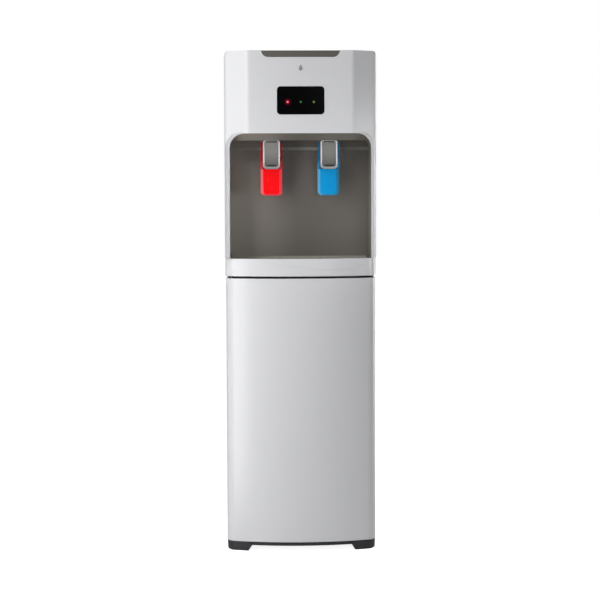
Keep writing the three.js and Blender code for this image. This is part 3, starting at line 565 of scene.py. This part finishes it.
def solid(name, vertices, faces, material, body="cabinet", smooth=30.0):
    """A mesh piece with its sides facing out, smooth where faces meet at less than an angle."""
    mesh = bpy.data.meshes.new(name)
    mesh.from_pydata(vertices, [], faces)
    work = bmesh.new()
    work.from_mesh(mesh)
    bmesh.ops.recalc_face_normals(work, faces=work.faces)
    for face in work.faces:
        face.smooth = True
    for edge in work.edges:
        edge.smooth = edge.calc_face_angle(0.0) < math.radians(smooth)
    work.to_mesh(mesh)
    work.free()
    return finish_piece(bpy.data.objects.new(name, mesh), material, body)


def soften(obj, width, segments=2):
    bevel = obj.modifiers.new("edge", "BEVEL")
    bevel.width = width
    bevel.segments = segments
    bevel.limit_method = "ANGLE"
    bevel.angle_limit = math.radians(30)
    normals = obj.modifiers.new("normals", "WEIGHTED_NORMAL")
    normals.keep_sharp = True
    return obj


def rings_solid(name, rings, material, body="cabinet", closed=False, smooth=30.0):
    """A skin over rings that hold the same number of points, capped at both ends unless closed."""
    count = len(rings[0])
    vertices = [tuple(p) for ring in rings for p in ring]
    faces = []
    for i in range(len(rings) if closed else len(rings) - 1):
        a, b = i * count, ((i + 1) % len(rings)) * count
        for j in range(count):
            k = (j + 1) % count
            faces.append((a + j, a + k, b + k, b + j))
    if not closed:
        faces.append(tuple(range(count)))
        faces.append(tuple(range(len(vertices) - count, len(vertices))))
    return solid(name, vertices, faces, material, body, smooth)


def circle(radius, sides=24, height=0.0):
    """Points round the Z axis; radius may be a function of the angle."""
    points = []
    for i in range(sides):
        angle = 2 * math.pi * i / sides
        reach = radius(angle) if callable(radius) else radius
        points.append(Vector((reach * math.cos(angle), reach * math.sin(angle), height)))
    return points


def turned(name, profile, place, axis, material, body="cabinet", sides=24):
    """Rings of radius and height, stood at a place along an axis."""
    turn = Vector(axis).to_track_quat("Z", "Y")
    rings = [
        [Vector(place) + turn @ p for p in circle(radius, sides, height)]
        for radius, height in profile
    ]
    return rings_solid(name, rings, material, body)


def tube(name, points, radius, material, body="cabinet", sides=10, closed=False):
    """A round bar swept along points, with its frame carried along without twist."""
    points = [Vector(p) for p in points]
    count = len(points)
    rings = []
    side = None
    for i, here in enumerate(points):
        before = points[i - 1] if i or closed else here
        after = points[(i + 1) % count] if i < count - 1 or closed else here
        along = (after - before).normalized()
        if side is None:
            side = along.orthogonal().normalized()
        side = (side - along * side.dot(along)).normalized()
        up = along.cross(side)
        rings.append([here + side * p.x + up * p.y for p in circle(radius, sides)])
    return rings_solid(name, rings, material, body, closed)


def curve_through(stops, steps=8):
    """Points of a smooth curve that runs through the stops."""
    stops = [Vector(s) for s in stops]
    padded = [2 * stops[0] - stops[1], *stops, 2 * stops[-1] - stops[-2]]
    points = []
    for a, b, c, d in zip(padded, padded[1:], padded[2:], padded[3:]):
        for i in range(steps):
            t = i / steps
            bend = (2 * a - 5 * b + 4 * c - d) * t**2
            twist = (3 * b - a - 3 * c + d) * t**3
            points.append(0.5 * (2 * b + (c - a) * t + bend + twist))
    return points + [stops[-1]]


def plate(name, outline, axis, start, end, material, body="cabinet", edge=0.0):
    """A flat outline given thickness along an axis: x (outline in y, z), y (x, z) or z (x, y)."""
    def place(p, depth):
        if axis == "x":
            return Vector((depth, p[0], p[1]))
        if axis == "y":
            return Vector((p[0], depth, p[1]))
        return Vector((p[0], p[1], depth))

    rings = [[place(p, depth) for p in outline] for depth in (start, end)]
    obj = rings_solid(name, rings, material, body)
    return soften(obj, edge) if edge else obj


def box_outline(x0, x1, y0, y1, radius=0.0, steps=5):
    if not radius:
        return [(x0, y0), (x1, y0), (x1, y1), (x0, y1)]
    outline = []
    for cx, cy, start in (
        (x1 - radius, y1 - radius, 0), (x0 + radius, y1 - radius, 90),
        (x0 + radius, y0 + radius, 180), (x1 - radius, y0 + radius, 270),
    ):
        for i in range(steps + 1):
            angle = math.radians(start + 90 * i / steps)
            outline.append((cx + radius * math.cos(angle), cy + radius * math.sin(angle)))
    return outline


def brick(name, low, high, material, body="cabinet", edge=0.5 * MM):
    outline = box_outline(low[0], high[0], low[1], high[1])
    return plate(name, outline, "z", low[2], high[2], material, body, edge)


def screw(name, place, axis, radius, body="cabinet", material="zinc_steel"):
    """A pan-head screw with a six-sided socket."""
    def socket(angle):
        return 0.42 * radius / math.cos((angle + math.pi / 6) % (math.pi / 3) - math.pi / 6)

    profile = [
        (radius, -0.3 * radius), (radius, 0.12 * radius), (0.93 * radius, 0.34 * radius),
        (0.74 * radius, 0.5 * radius), (socket, 0.54 * radius), (socket, 0.1 * radius),
        (0.03 * radius, 0.06 * radius),
    ]
    return turned(name, profile, place, axis, material, body)


def bowed_front(x, half):
    """Depth of the bowed front of the ledge, or of the door, at a place across it."""
    filleted = half - LEDGE_CORNER
    inner = BOW_RADIUS - LEDGE_CORNER
    centre = FRONT + BOW_RADIUS
    if abs(x) < filleted * BOW_RADIUS / inner:
        return centre - math.sqrt(BOW_RADIUS**2 - x**2)
    fillet = centre - math.sqrt(inner**2 - filleted**2)
    return fillet - math.sqrt(max(LEDGE_CORNER**2 - (abs(x) - filleted) ** 2, 0.0))


def head_front(x):
    """Depth of the front of the head at a place across it."""
    flat = FACET_HALF - CREASE_RADIUS * math.tan(FACET_SLANT / 2)
    turn = flat + CREASE_RADIUS * math.sin(FACET_SLANT)
    if x <= flat:
        return FRONT
    if x <= turn:
        return FRONT + CREASE_RADIUS - math.sqrt(CREASE_RADIUS**2 - (x - flat) ** 2)
    corner = HEAD_HALF - FACET_FILLET
    straight = corner + FACET_FILLET * math.sin(FACET_SLANT)
    line = FRONT + (min(x, straight) - FACET_HALF) * math.tan(FACET_SLANT)
    if x <= straight:
        return line
    centre = line + FACET_FILLET * math.cos(FACET_SLANT)
    return centre - math.sqrt(max(FACET_FILLET**2 - (x - corner) ** 2, 0.0))


# ---- Front: emblem, ledge, niche and taps ----

TAPS = {
    "hot": ("hot_tap_lever", "lever_red", "face_red"),
    "cold": ("cold_tap_lever", "lever_blue", "face_blue"),
}


EMBLEM_HEIGHT = 1.0045


def add_emblem():
    """A plain drop in the middle of the head."""
    drop = []
    points = 28
    for i in range(points):
        t = 2 * math.pi * i / points
        across = 5.4 * MM * math.sin(t) * math.sin(t / 2) ** 1.4
        drop.append((across, EMBLEM_HEIGHT + 6.4 * MM * math.cos(t)))
    plate("emblem", drop, "y", FRONT - 0.5 * MM, FRONT + 0.5 * MM, "emblem_grey", edge=0.2 * MM)


def add_ledge_bead():
    """A shallow raised line that dips across the front of the ledge."""
    stops = [
        (-65, 604.6), (-27.5, 596.9), (3.5, 592.6), (32.5, 589.6),
        (63.5, 588.3), (90, 589), (120, 594), (140, 601.6),
    ]
    path = [(x * MM, z * MM) for x, z in stops]
    line = curve_through([(x, bowed_front(x, LEDGE_HALF) + 0.25 * MM, z) for x, z in path], 6)
    tube("ledge_bead", line, 0.8 * MM, "white_plastic")


def add_tray_strip():
    """A strip between the tray and the niche's back wall."""
    low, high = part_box("drip_tray")
    # Its lighter taupe is painted light, as on the tray.
    brick(
        "tray_rear_strip",
        (low.x + 3 * MM, high.y + 0.3 * MM, high.z - 9 * MM),
        (high.x - 3 * MM, NICHE_BACK - 0.1 * MM, LEDGE_TOP + 1.6 * MM),
        "tray_taupe_painted_light", edge=0.3 * MM,
    )


def add_window_bead():
    low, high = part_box("display_window")
    margin = 0.5 * MM
    rim = box_outline(low.x - margin, high.x + margin, low.z - margin, high.z + margin, 8 * MM, 6)
    path = [(x, FRONT + 0.1 * MM, z) for x, z in rim]
    tube("window_bead", path, 0.6 * MM, "white_plastic", closed=True)


def add_step_painted_light():
    """A thin plate of lighter grey along the step in the niche's back wall: painted light where the step
    catches light.
    """
    profile = [(-7.5, 5.7), (-7.9, 5.3), (-0.6, -0.9), (0.2, -0.9), (-0.1, 0.0), (-7.0, 6.0)]
    outline = [(NICHE_BACK + y * MM, STEP_HEIGHT + z * MM) for y, z in profile]
    half = NICHE_HALF - 0.4 * MM
    plate("niche_step_painted_light", outline, "x", -half, half, "step_painted_light_grey")


PADDLE_DEPTH = 34 * MM  # behind the front of the tap's body
PADDLE_HALF = 22.6 * MM
PADDLE_TOP = 57 * MM  # above the lever's lowest point
PADDLE_CUT = 6 * MM  # across its lower corners


def add_lever_pads(tap):
    """A raised border on the lever's paddle, and a face inside it in a deeper red or blue, made brighter by a
    painted glow.
    """
    body, shade, face = TAPS[tap]
    low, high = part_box(f"{tap}_lever")
    middle = (low.x + high.x) / 2
    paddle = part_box(f"{tap}_tap_body")[0].y + PADDLE_DEPTH
    top = low.z + PADDLE_TOP

    def pad(inset, bottom, depth):
        half = PADDLE_HALF - inset
        base = low.z + bottom
        cut = PADDLE_CUT - 0.4 * inset
        outline = [(half - cut, base), (half, base + cut), (half, top - 0.3 * inset)]
        outline += [(-x, z) for x, z in reversed(outline)]
        return [Vector((middle + x, paddle - depth, z)) for x, z in outline]

    border = [
        pad(0.0, 0.2 * MM, -0.6 * MM),
        pad(0.2 * MM, 0.4 * MM, 0.3 * MM),
        pad(5.4 * MM, 3.0 * MM, 2.2 * MM),
    ]
    rings_solid(f"{tap}_lever_border", border, shade, body, smooth=12)
    pane = [pad(5.6 * MM, 3.2 * MM, 2.1 * MM), pad(6.0 * MM, 3.5 * MM, 2.5 * MM)]
    rings_solid(f"{tap}_lever_face", pane, face, body, smooth=12)


# Painted shade: dark strips where the gaps round each bezel's face lie in shadow.
# Half width, lower and upper edge above the bezel's foot, and depth behind the front of the tap's body
BEZEL_GAP_SHADE = {
    "face_slot_shade": (7.6 * MM, 7.0 * MM, 9.2 * MM, 2.5 * MM),
    "face_gap_shade": (11.0 * MM, 5.2 * MM, 7.3 * MM, 4.2 * MM),
    "face_hood_shade": (11.0 * MM, 55.6 * MM, 58.0 * MM, -0.25 * MM),
}


def add_bezel_gap_shade(tap):
    """Dark strips of painted shade that stand for the gaps round the face of the bezel."""
    low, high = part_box(f"{tap}_lever")
    middle = (low.x + high.x) / 2
    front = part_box(f"{tap}_tap_body")[0].y
    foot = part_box(f"{tap}_tap_bezel")[0].z
    for name, (half, start, end, depth) in BEZEL_GAP_SHADE.items():
        brick(
            f"{tap}_{name}",
            (middle - half, front + depth, foot + start),
            (middle + half, front + depth + 1.6 * MM, foot + end),
            "dark_plastic", edge=0.2 * MM,
        )


def add_pin_clips(tap):
    low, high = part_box(f"{tap}_pivot_pin")
    pivot = (low + high) / 2
    profile = [(3.4 * MM, -0.1 * MM), (3.4 * MM, 0.5 * MM), (3.0 * MM, 0.8 * MM), (1.2 * MM, 0.9 * MM)]
    for side, end in ((-1, low.x), (1, high.x)):
        name = f"{tap}_pin_clip_{side_name(side)}"
        turned(name, profile, (end, pivot.y, pivot.z), (side, 0, 0), "zinc_steel")


SPRING_TURNS = 8
SPRING_STEPS = 14  # in each turn
SPRING_RADIUS = 3.2 * MM
SPRING_LEG = 5.2 * MM  # below the pivot


def add_lever_spring(tap):
    """A torsion coil round the pivot pin, with a leg at each end."""
    lever_low, lever_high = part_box(f"{tap}_lever")
    middle = (lever_low.x + lever_high.x) / 2
    pivot = place_of(f"{tap}_pivot_pin")
    low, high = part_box(f"{tap}_lever_spring")
    length = high.x - low.x - 1.4 * MM
    steps = SPRING_TURNS * SPRING_STEPS
    coil = []
    for i in range(steps + 1):
        angle = 2 * math.pi * i / SPRING_STEPS
        x = middle - length / 2 + length * i / steps
        y = pivot.y + SPRING_RADIUS * math.cos(angle)
        coil.append((x, y, pivot.z + SPRING_RADIUS * math.sin(angle)))
    legs = [(end[0], pivot.y + SPRING_RADIUS, pivot.z - SPRING_LEG) for end in (coil[0], coil[-1])]
    path = [legs[0], *coil, legs[1]]
    spring = tube(f"{tap}_torsion_spring", path, 0.5 * MM, "zinc_steel", sides=7)
    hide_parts(f"{tap}_lever_spring")


def add_nozzle_ring(tap):
    low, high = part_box(f"{tap}_tap_nozzle")
    place = ((low.x + high.x) / 2, (low.y + high.y) / 2, low.z)
    profile = [
        (8.2 * MM, 1.6 * MM), (8.2 * MM, -0.6 * MM), (7.4 * MM, -1.3 * MM),
        (5.6 * MM, -1.3 * MM), (4.7 * MM, -0.6 * MM), (4.7 * MM, 1.6 * MM),
    ]
    turned(f"{tap}_nozzle_ring", profile, place, (0, 0, 1), "tap_grey", sides=32)


def add_tap_details(tap):
    add_lever_pads(tap)
    add_bezel_gap_shade(tap)
    add_pin_clips(tap)
    add_lever_spring(tap)
    add_nozzle_ring(tap)


RIM_WIDE = 9.6 * MM
RIM_NARROW = 0.8 * MM


def niche_rim_section(x, out_x, width):
    """Outline of the raised edge: steps outwards from the niche, with the depth at each."""
    front = head_front(x)
    outer = head_front(x + width * out_x)
    rise = 0.2 * MM + 0.06 * width
    middle = (front - rise + outer) / 2
    return [
        (-0.3 * MM, front + 2.8 * MM),
        (-0.3 * MM, front + 0.9 * MM),
        (0.25 * MM, front + 0.1 * MM),
        (0.14 * width, front - 0.2 * MM),
        (0.45 * width, front - rise),
        (0.62 * width, front - 0.8 * rise),
        (0.78 * width, 0.62 * (front - rise) + 0.38 * outer),
        (0.9 * width, 0.7 * middle + 0.3 * outer),
        (width, outer + 0.2 * MM),
        (width, outer + 1.0 * MM),
        (0.4 * width, front + 2.4 * MM),
    ]


def add_niche_rim(side):
    """A raised edge down one side of the niche that fades out as it reaches the top of the arch."""
    centre_x, centre_z = NICHE_HALF - NICHE_CORNER, NICHE_TOP - NICHE_CORNER
    bottom = LEDGE_TOP + 0.2 * MM
    rise = centre_z - bottom
    path = [(NICHE_HALF, bottom + rise * i / 10, 1.0, 0.0, RIM_WIDE) for i in range(10)]
    for i in range(17):
        angle = math.radians(90 * i / 16)
        out_x, out_z = math.cos(angle), math.sin(angle)
        width = RIM_NARROW + (RIM_WIDE - RIM_NARROW) * math.cos(angle) ** 0.8
        path.append((centre_x + NICHE_CORNER * out_x, centre_z + NICHE_CORNER * out_z, out_x, out_z, width))
    rings = []
    for x, z, out_x, out_z, width in path:
        section = niche_rim_section(x, out_x, width)
        rings.append([Vector((side * (x + d * out_x), y, z + d * out_z)) for d, y in section])
    # The raised edge is coloured a darker white: painted shade.
    rings_solid(f"niche_rim_{side_name(side)}", rings, "rim_white_painted_shade", smooth=50)


# ---- Door, cabinet and rear ----

def add_door_details():
    """The seal round the door's inner panel, and its screws."""
    low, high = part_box("door_liner")
    back = high.y
    inset = 5 * MM
    outline = box_outline(low.x + inset, high.x - inset, low.z + inset, high.z - inset, 12 * MM, 6)
    seal = [(x, back + 3.4 * MM, z) for x, z in outline]
    tube("door_gasket", seal, 3.6 * MM, "gasket", "door", sides=12, closed=True)
    for i, z in enumerate((low.z + 50 * MM, high.z - 50 * MM)):
        for x in (low.x + 40 * MM, high.x - 40 * MM):
            name = f"liner_screw_{side_name(x)}_{i}"
            screw(name, (x, back - 2.0 * MM, z), (0, 1, 0), 3.2 * MM, "door", "light_plastic")


# Height, inset from the door's sides, and start from the middle, in millimetres
FOOT_LEVELS = [
    (0.8, 1.6, 113.6), (2.0, 0.9, 112.4), (11.8, 0.4, 105.4), (12.2, 0.4, 105.0), (18.7, 0.2, 105.0),
]
FOOT_HALF = 155.5 * MM
FOOT_BACK = FRONT + 56 * MM
FOOT_SHELL = 2.4 * MM


def add_foot_cover(side):
    """A moulded cover round the outside of a front foot, flush with the door above it."""
    rings = []
    for height, inset, start in FOOT_LEVELS:
        inset *= MM
        start *= MM
        half = FOOT_HALF - inset
        turn = half - LEDGE_CORNER
        across = [start + (turn - start) * i / 4 for i in range(4)]
        across += [turn + LEDGE_CORNER * math.sin(math.radians(a)) for a in range(0, 90, 10)]
        corner = bowed_front(half, half)
        outer = [(x, bowed_front(x, half) + inset) for x in across]
        outer += [(half, corner + 1 * MM), (half, FOOT_BACK)]
        inner = [
            (half - FOOT_SHELL, FOOT_BACK),
            (half - FOOT_SHELL, corner),
            (start, bowed_front(start, half) + inset + FOOT_SHELL),
        ]
        rings.append([Vector((side * x, y, height * MM)) for x, y in outer + inner])
    rings_solid(f"foot_cover_{side_name(side)}", rings, "dark_plastic", smooth=25)


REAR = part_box("rear_panel")[1].y
REAR_WARD = (0, 1, 0)


def add_rear_screws():
    low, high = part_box("rear_panel")
    margin = 9 * MM
    for x in (low.x + margin, high.x - margin):
        for i, z in enumerate((0.04, 0.28, 0.52, 0.76, 1.0)):
            screw(f"rear_screw_{side_name(x)}_{i}", (x, REAR, z), REAR_WARD, 3.6 * MM)


LOUVRE_ROWS = 14
LOUVRE_PITCH = 15 * MM
LOUVRE_LOWEST = 0.25
LOUVRE_SIDE = 62 * MM  # of each column's middle
LOUVRE_STEP = 11 * MM  # along a louvre, which has 4 steps each side of its middle


def add_louvre(side, row):
    """A hood pressed out of the rear panel, with a dark plate under it: painted shade for the opening beneath
    the hood.
    """
    z = LOUVRE_LOWEST + row * LOUVRE_PITCH
    middle = side * LOUVRE_SIDE
    hood = []
    for step in range(-4, 5):
        x = middle + step * LOUVRE_STEP
        lift = 3.2 * MM * max(0.0, 1 - (abs(step) / 4) ** 6)
        hood.append([
            Vector((x, REAR - 0.2 * MM, z + 4.4 * MM)),
            Vector((x, REAR + lift * 0.75, z + 1.4 * MM)),
            Vector((x, REAR + lift, z - 1.6 * MM)),
            Vector((x, REAR - 0.2 * MM, z - 1.9 * MM)),
        ])
    place = f"{side_name(side)}_{row}"
    rings_solid(f"louvre_{place}", hood, "white_steel")
    # Painted shade: a dark plate stands for the shaded opening under the hood.
    slot = box_outline(middle - 41 * MM, middle + 41 * MM, z - 4.2 * MM, z - 1.7 * MM, 1.1 * MM, 3)
    plate(f"louvre_slot_shade_{place}", slot, "y", REAR - 0.3 * MM, REAR + 0.15 * MM, "dark_plastic")


LUG_REACH = 41.5 * MM  # from the middle of the fan, across and up


def add_guard_lugs():
    middle = place_of("fan_guard")
    profile = [(6.5 * MM, 0.0), (6.5 * MM, 2.0 * MM), (5.9 * MM, 2.6 * MM), (0.2 * MM, 2.6 * MM)]
    for i, (across, up) in enumerate(((-1, -1), (1, -1), (-1, 1), (1, 1))):
        x, z = middle.x + across * LUG_REACH, middle.z + up * LUG_REACH
        turned(f"guard_lug_{i}", profile, (x, REAR, z), REAR_WARD, "dark_plastic")
        screw(f"guard_screw_{i}", (x, REAR + 2.7 * MM, z), REAR_WARD, 3.0 * MM)


def add_inlet_screws():
    low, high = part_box("power_inlet")
    height = (low.z + high.z) / 2
    for side, x in (("inner", low.x + 2.6 * MM), ("outer", high.x - 2.6 * MM)):
        screw(f"inlet_screw_{side}", (x, high.y, height), REAR_WARD, 1.9 * MM)


def add_cap_ribs():
    """Grip ribs round the drain cap."""
    low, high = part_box("drain_cap")
    cap = (low + high) / 2
    ribs, reach = 12, 11.6 * MM
    for i in range(ribs):
        angle = 2 * math.pi * (i + 0.5) / ribs
        x, z = cap.x + reach * math.cos(angle), cap.z + reach * math.sin(angle)
        rib = [(x, low.y + 0.4 * MM, z), (x, high.y - 0.5 * MM, z)]
        tube(f"cap_rib_{i}", rib, 0.9 * MM, "dark_plastic", "drain_plug", sides=8)


def add_rear():
    add_rear_screws()
    for row in range(LOUVRE_ROWS):
        add_louvre(-1, row)
        add_louvre(1, row)
    add_guard_lugs()
    add_inlet_screws()
    add_cap_ribs()
    label = box_outline(-0.13, -0.08, 0.50, 0.54, 2 * MM, 3)
    plate("rating_plate", label, "y", REAR - 0.1 * MM, REAR + 0.4 * MM, "aluminium", edge=0.1 * MM)


def add_top():
    low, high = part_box("top_cover")
    inset = 22 * MM
    outline = box_outline(low.x + inset, high.x - inset, low.y + 48 * MM, high.y - inset, 18 * MM, 6)
    bead = [(x, y, high.z - 0.4 * MM) for x, y in outline]
    tube("lid_bead", bead, 1.1 * MM, "lid_taupe", closed=True)


# ---- Inside ----

def add_supply_details():
    """Dark plates of painted shade for the slits in the side of the power supply, and its block of terminals.
    """
    low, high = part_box("power_supply")
    # Painted shade: dark plates stand for the shaded slits.
    for i in range(7):
        z = low.z + 30 * MM + i * 13 * MM
        slit = box_outline(low.y + 14 * MM, high.y - 14 * MM, z, z + 4 * MM, 1.9 * MM, 3)
        plate(f"supply_slit_shade_{i}", slit, "x", low.x - 0.35 * MM, low.x + 0.3 * MM, "dark_plastic")
    brick(
        "supply_terminals",
        (low.x + 8 * MM, low.y - 9 * MM, low.z + 8 * MM),
        (high.x - 8 * MM, low.y - 0.2 * MM, low.z + 22 * MM),
        "dark_plastic", edge=1 * MM,
    )
    for i in range(4):
        x = low.x + 15 * MM + i * 9.4 * MM
        screw(f"terminal_screw_{i}", (x, low.y - 9 * MM, low.z + 15 * MM), (0, -1, 0), 2.4 * MM)


TERMINAL_HEIGHT = 0.668
# Colour, how far its terminal is from the supply's side, and the places it runs through
WIRES = {
    "fan": (
        "lever_red", 20 * MM,
        [(0.11, 0.06, 0.70), (0.115, 0.09, 0.86), (0.075, 0.13, 0.91), (0.046, 0.142, 0.915)],
    ),
    "module": (
        "window_black", 30 * MM,
        [(0.10, 0.055, 0.72), (0.108, 0.085, 0.87), (0.06, 0.106, 0.925), (0.021, 0.102, 0.93)],
    ),
    "inlet": (
        "lever_blue", 40 * MM,
        [(0.112, 0.055, 0.64), (0.107, 0.10, 0.605), (0.107, 0.144, 0.60)],
    ),
}


def add_wires():
    low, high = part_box("power_supply")
    for name, (shade, inset, stops) in WIRES.items():
        terminal = (high.x - inset, low.y - 9 * MM, TERMINAL_HEIGHT)
        tube(f"wire_{name}", curve_through([terminal, *stops]), 1.3 * MM, shade, sides=8)


def add_board_chips():
    low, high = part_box("indicator_board")
    middle = (low.z + high.z) / 2
    # Place across and up from the board's middle, and width, in millimetres
    chips = [(-24, 12, 9), (4, 15, 12), (26, -14, 6), (-8, -16, 10), (30, 12, 4)]
    for i, (x, up, wide) in enumerate(chips):
        z = middle + up * MM
        chip_low = ((x - wide / 2) * MM, high.y + 0.05 * MM, z - 3 * MM)
        chip_high = ((x + wide / 2) * MM, high.y + 1.8 * MM, z + 3 * MM)
        brick(f"board_chip_{i}", chip_low, chip_high, "window_black", edge=0.3 * MM)


def add_magnet_plate():
    low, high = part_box("door_magnet")
    brick(
        "magnet_plate",
        (low.x + 1 * MM, low.y - 0.8 * MM, low.z + 4 * MM),
        (high.x - 1 * MM, low.y, high.z - 4 * MM),
        "zinc_steel", edge=0.2 * MM,
    )


def add_probe_rings():
    probe = place_of("bottle_probe")
    profile = [(9.2 * MM, -2.2 * MM), (10.4 * MM, -1.2 * MM), (10.4 * MM, 1.2 * MM), (9.2 * MM, 2.2 * MM)]
    for i, z in enumerate((0.10, 0.44, 0.47)):
        turned(f"probe_ring_{i}", profile, (probe.x, probe.y, z), (0, 0, 1), "light_plastic", sides=28)


def add_inside():
    add_supply_details()
    add_wires()
    add_board_chips()
    add_magnet_plate()
    add_probe_rings()


def round_hoses():
    for name in ("hot_hose", "cold_hose", "transfer_hose", "riser_hose", "suction_hose"):
        hose = NODES[name]
        subdivide = hose.modifiers.new("round", "SUBSURF")
        subdivide.levels = 1
        subdivide.render_levels = 2


make_camera()
make_studio()
light_lamps()
paint_front_light_and_shade()
dress_nodes()
round_hoses()
add_emblem()
add_ledge_bead()
add_tray_strip()
add_window_bead()
add_step_painted_light()
add_niche_rim(-1)
add_niche_rim(1)
add_tap_details("hot")
add_tap_details("cold")
add_door_details()
add_foot_cover(-1)
add_foot_cover(1)
add_rear()
add_top()
add_inside()
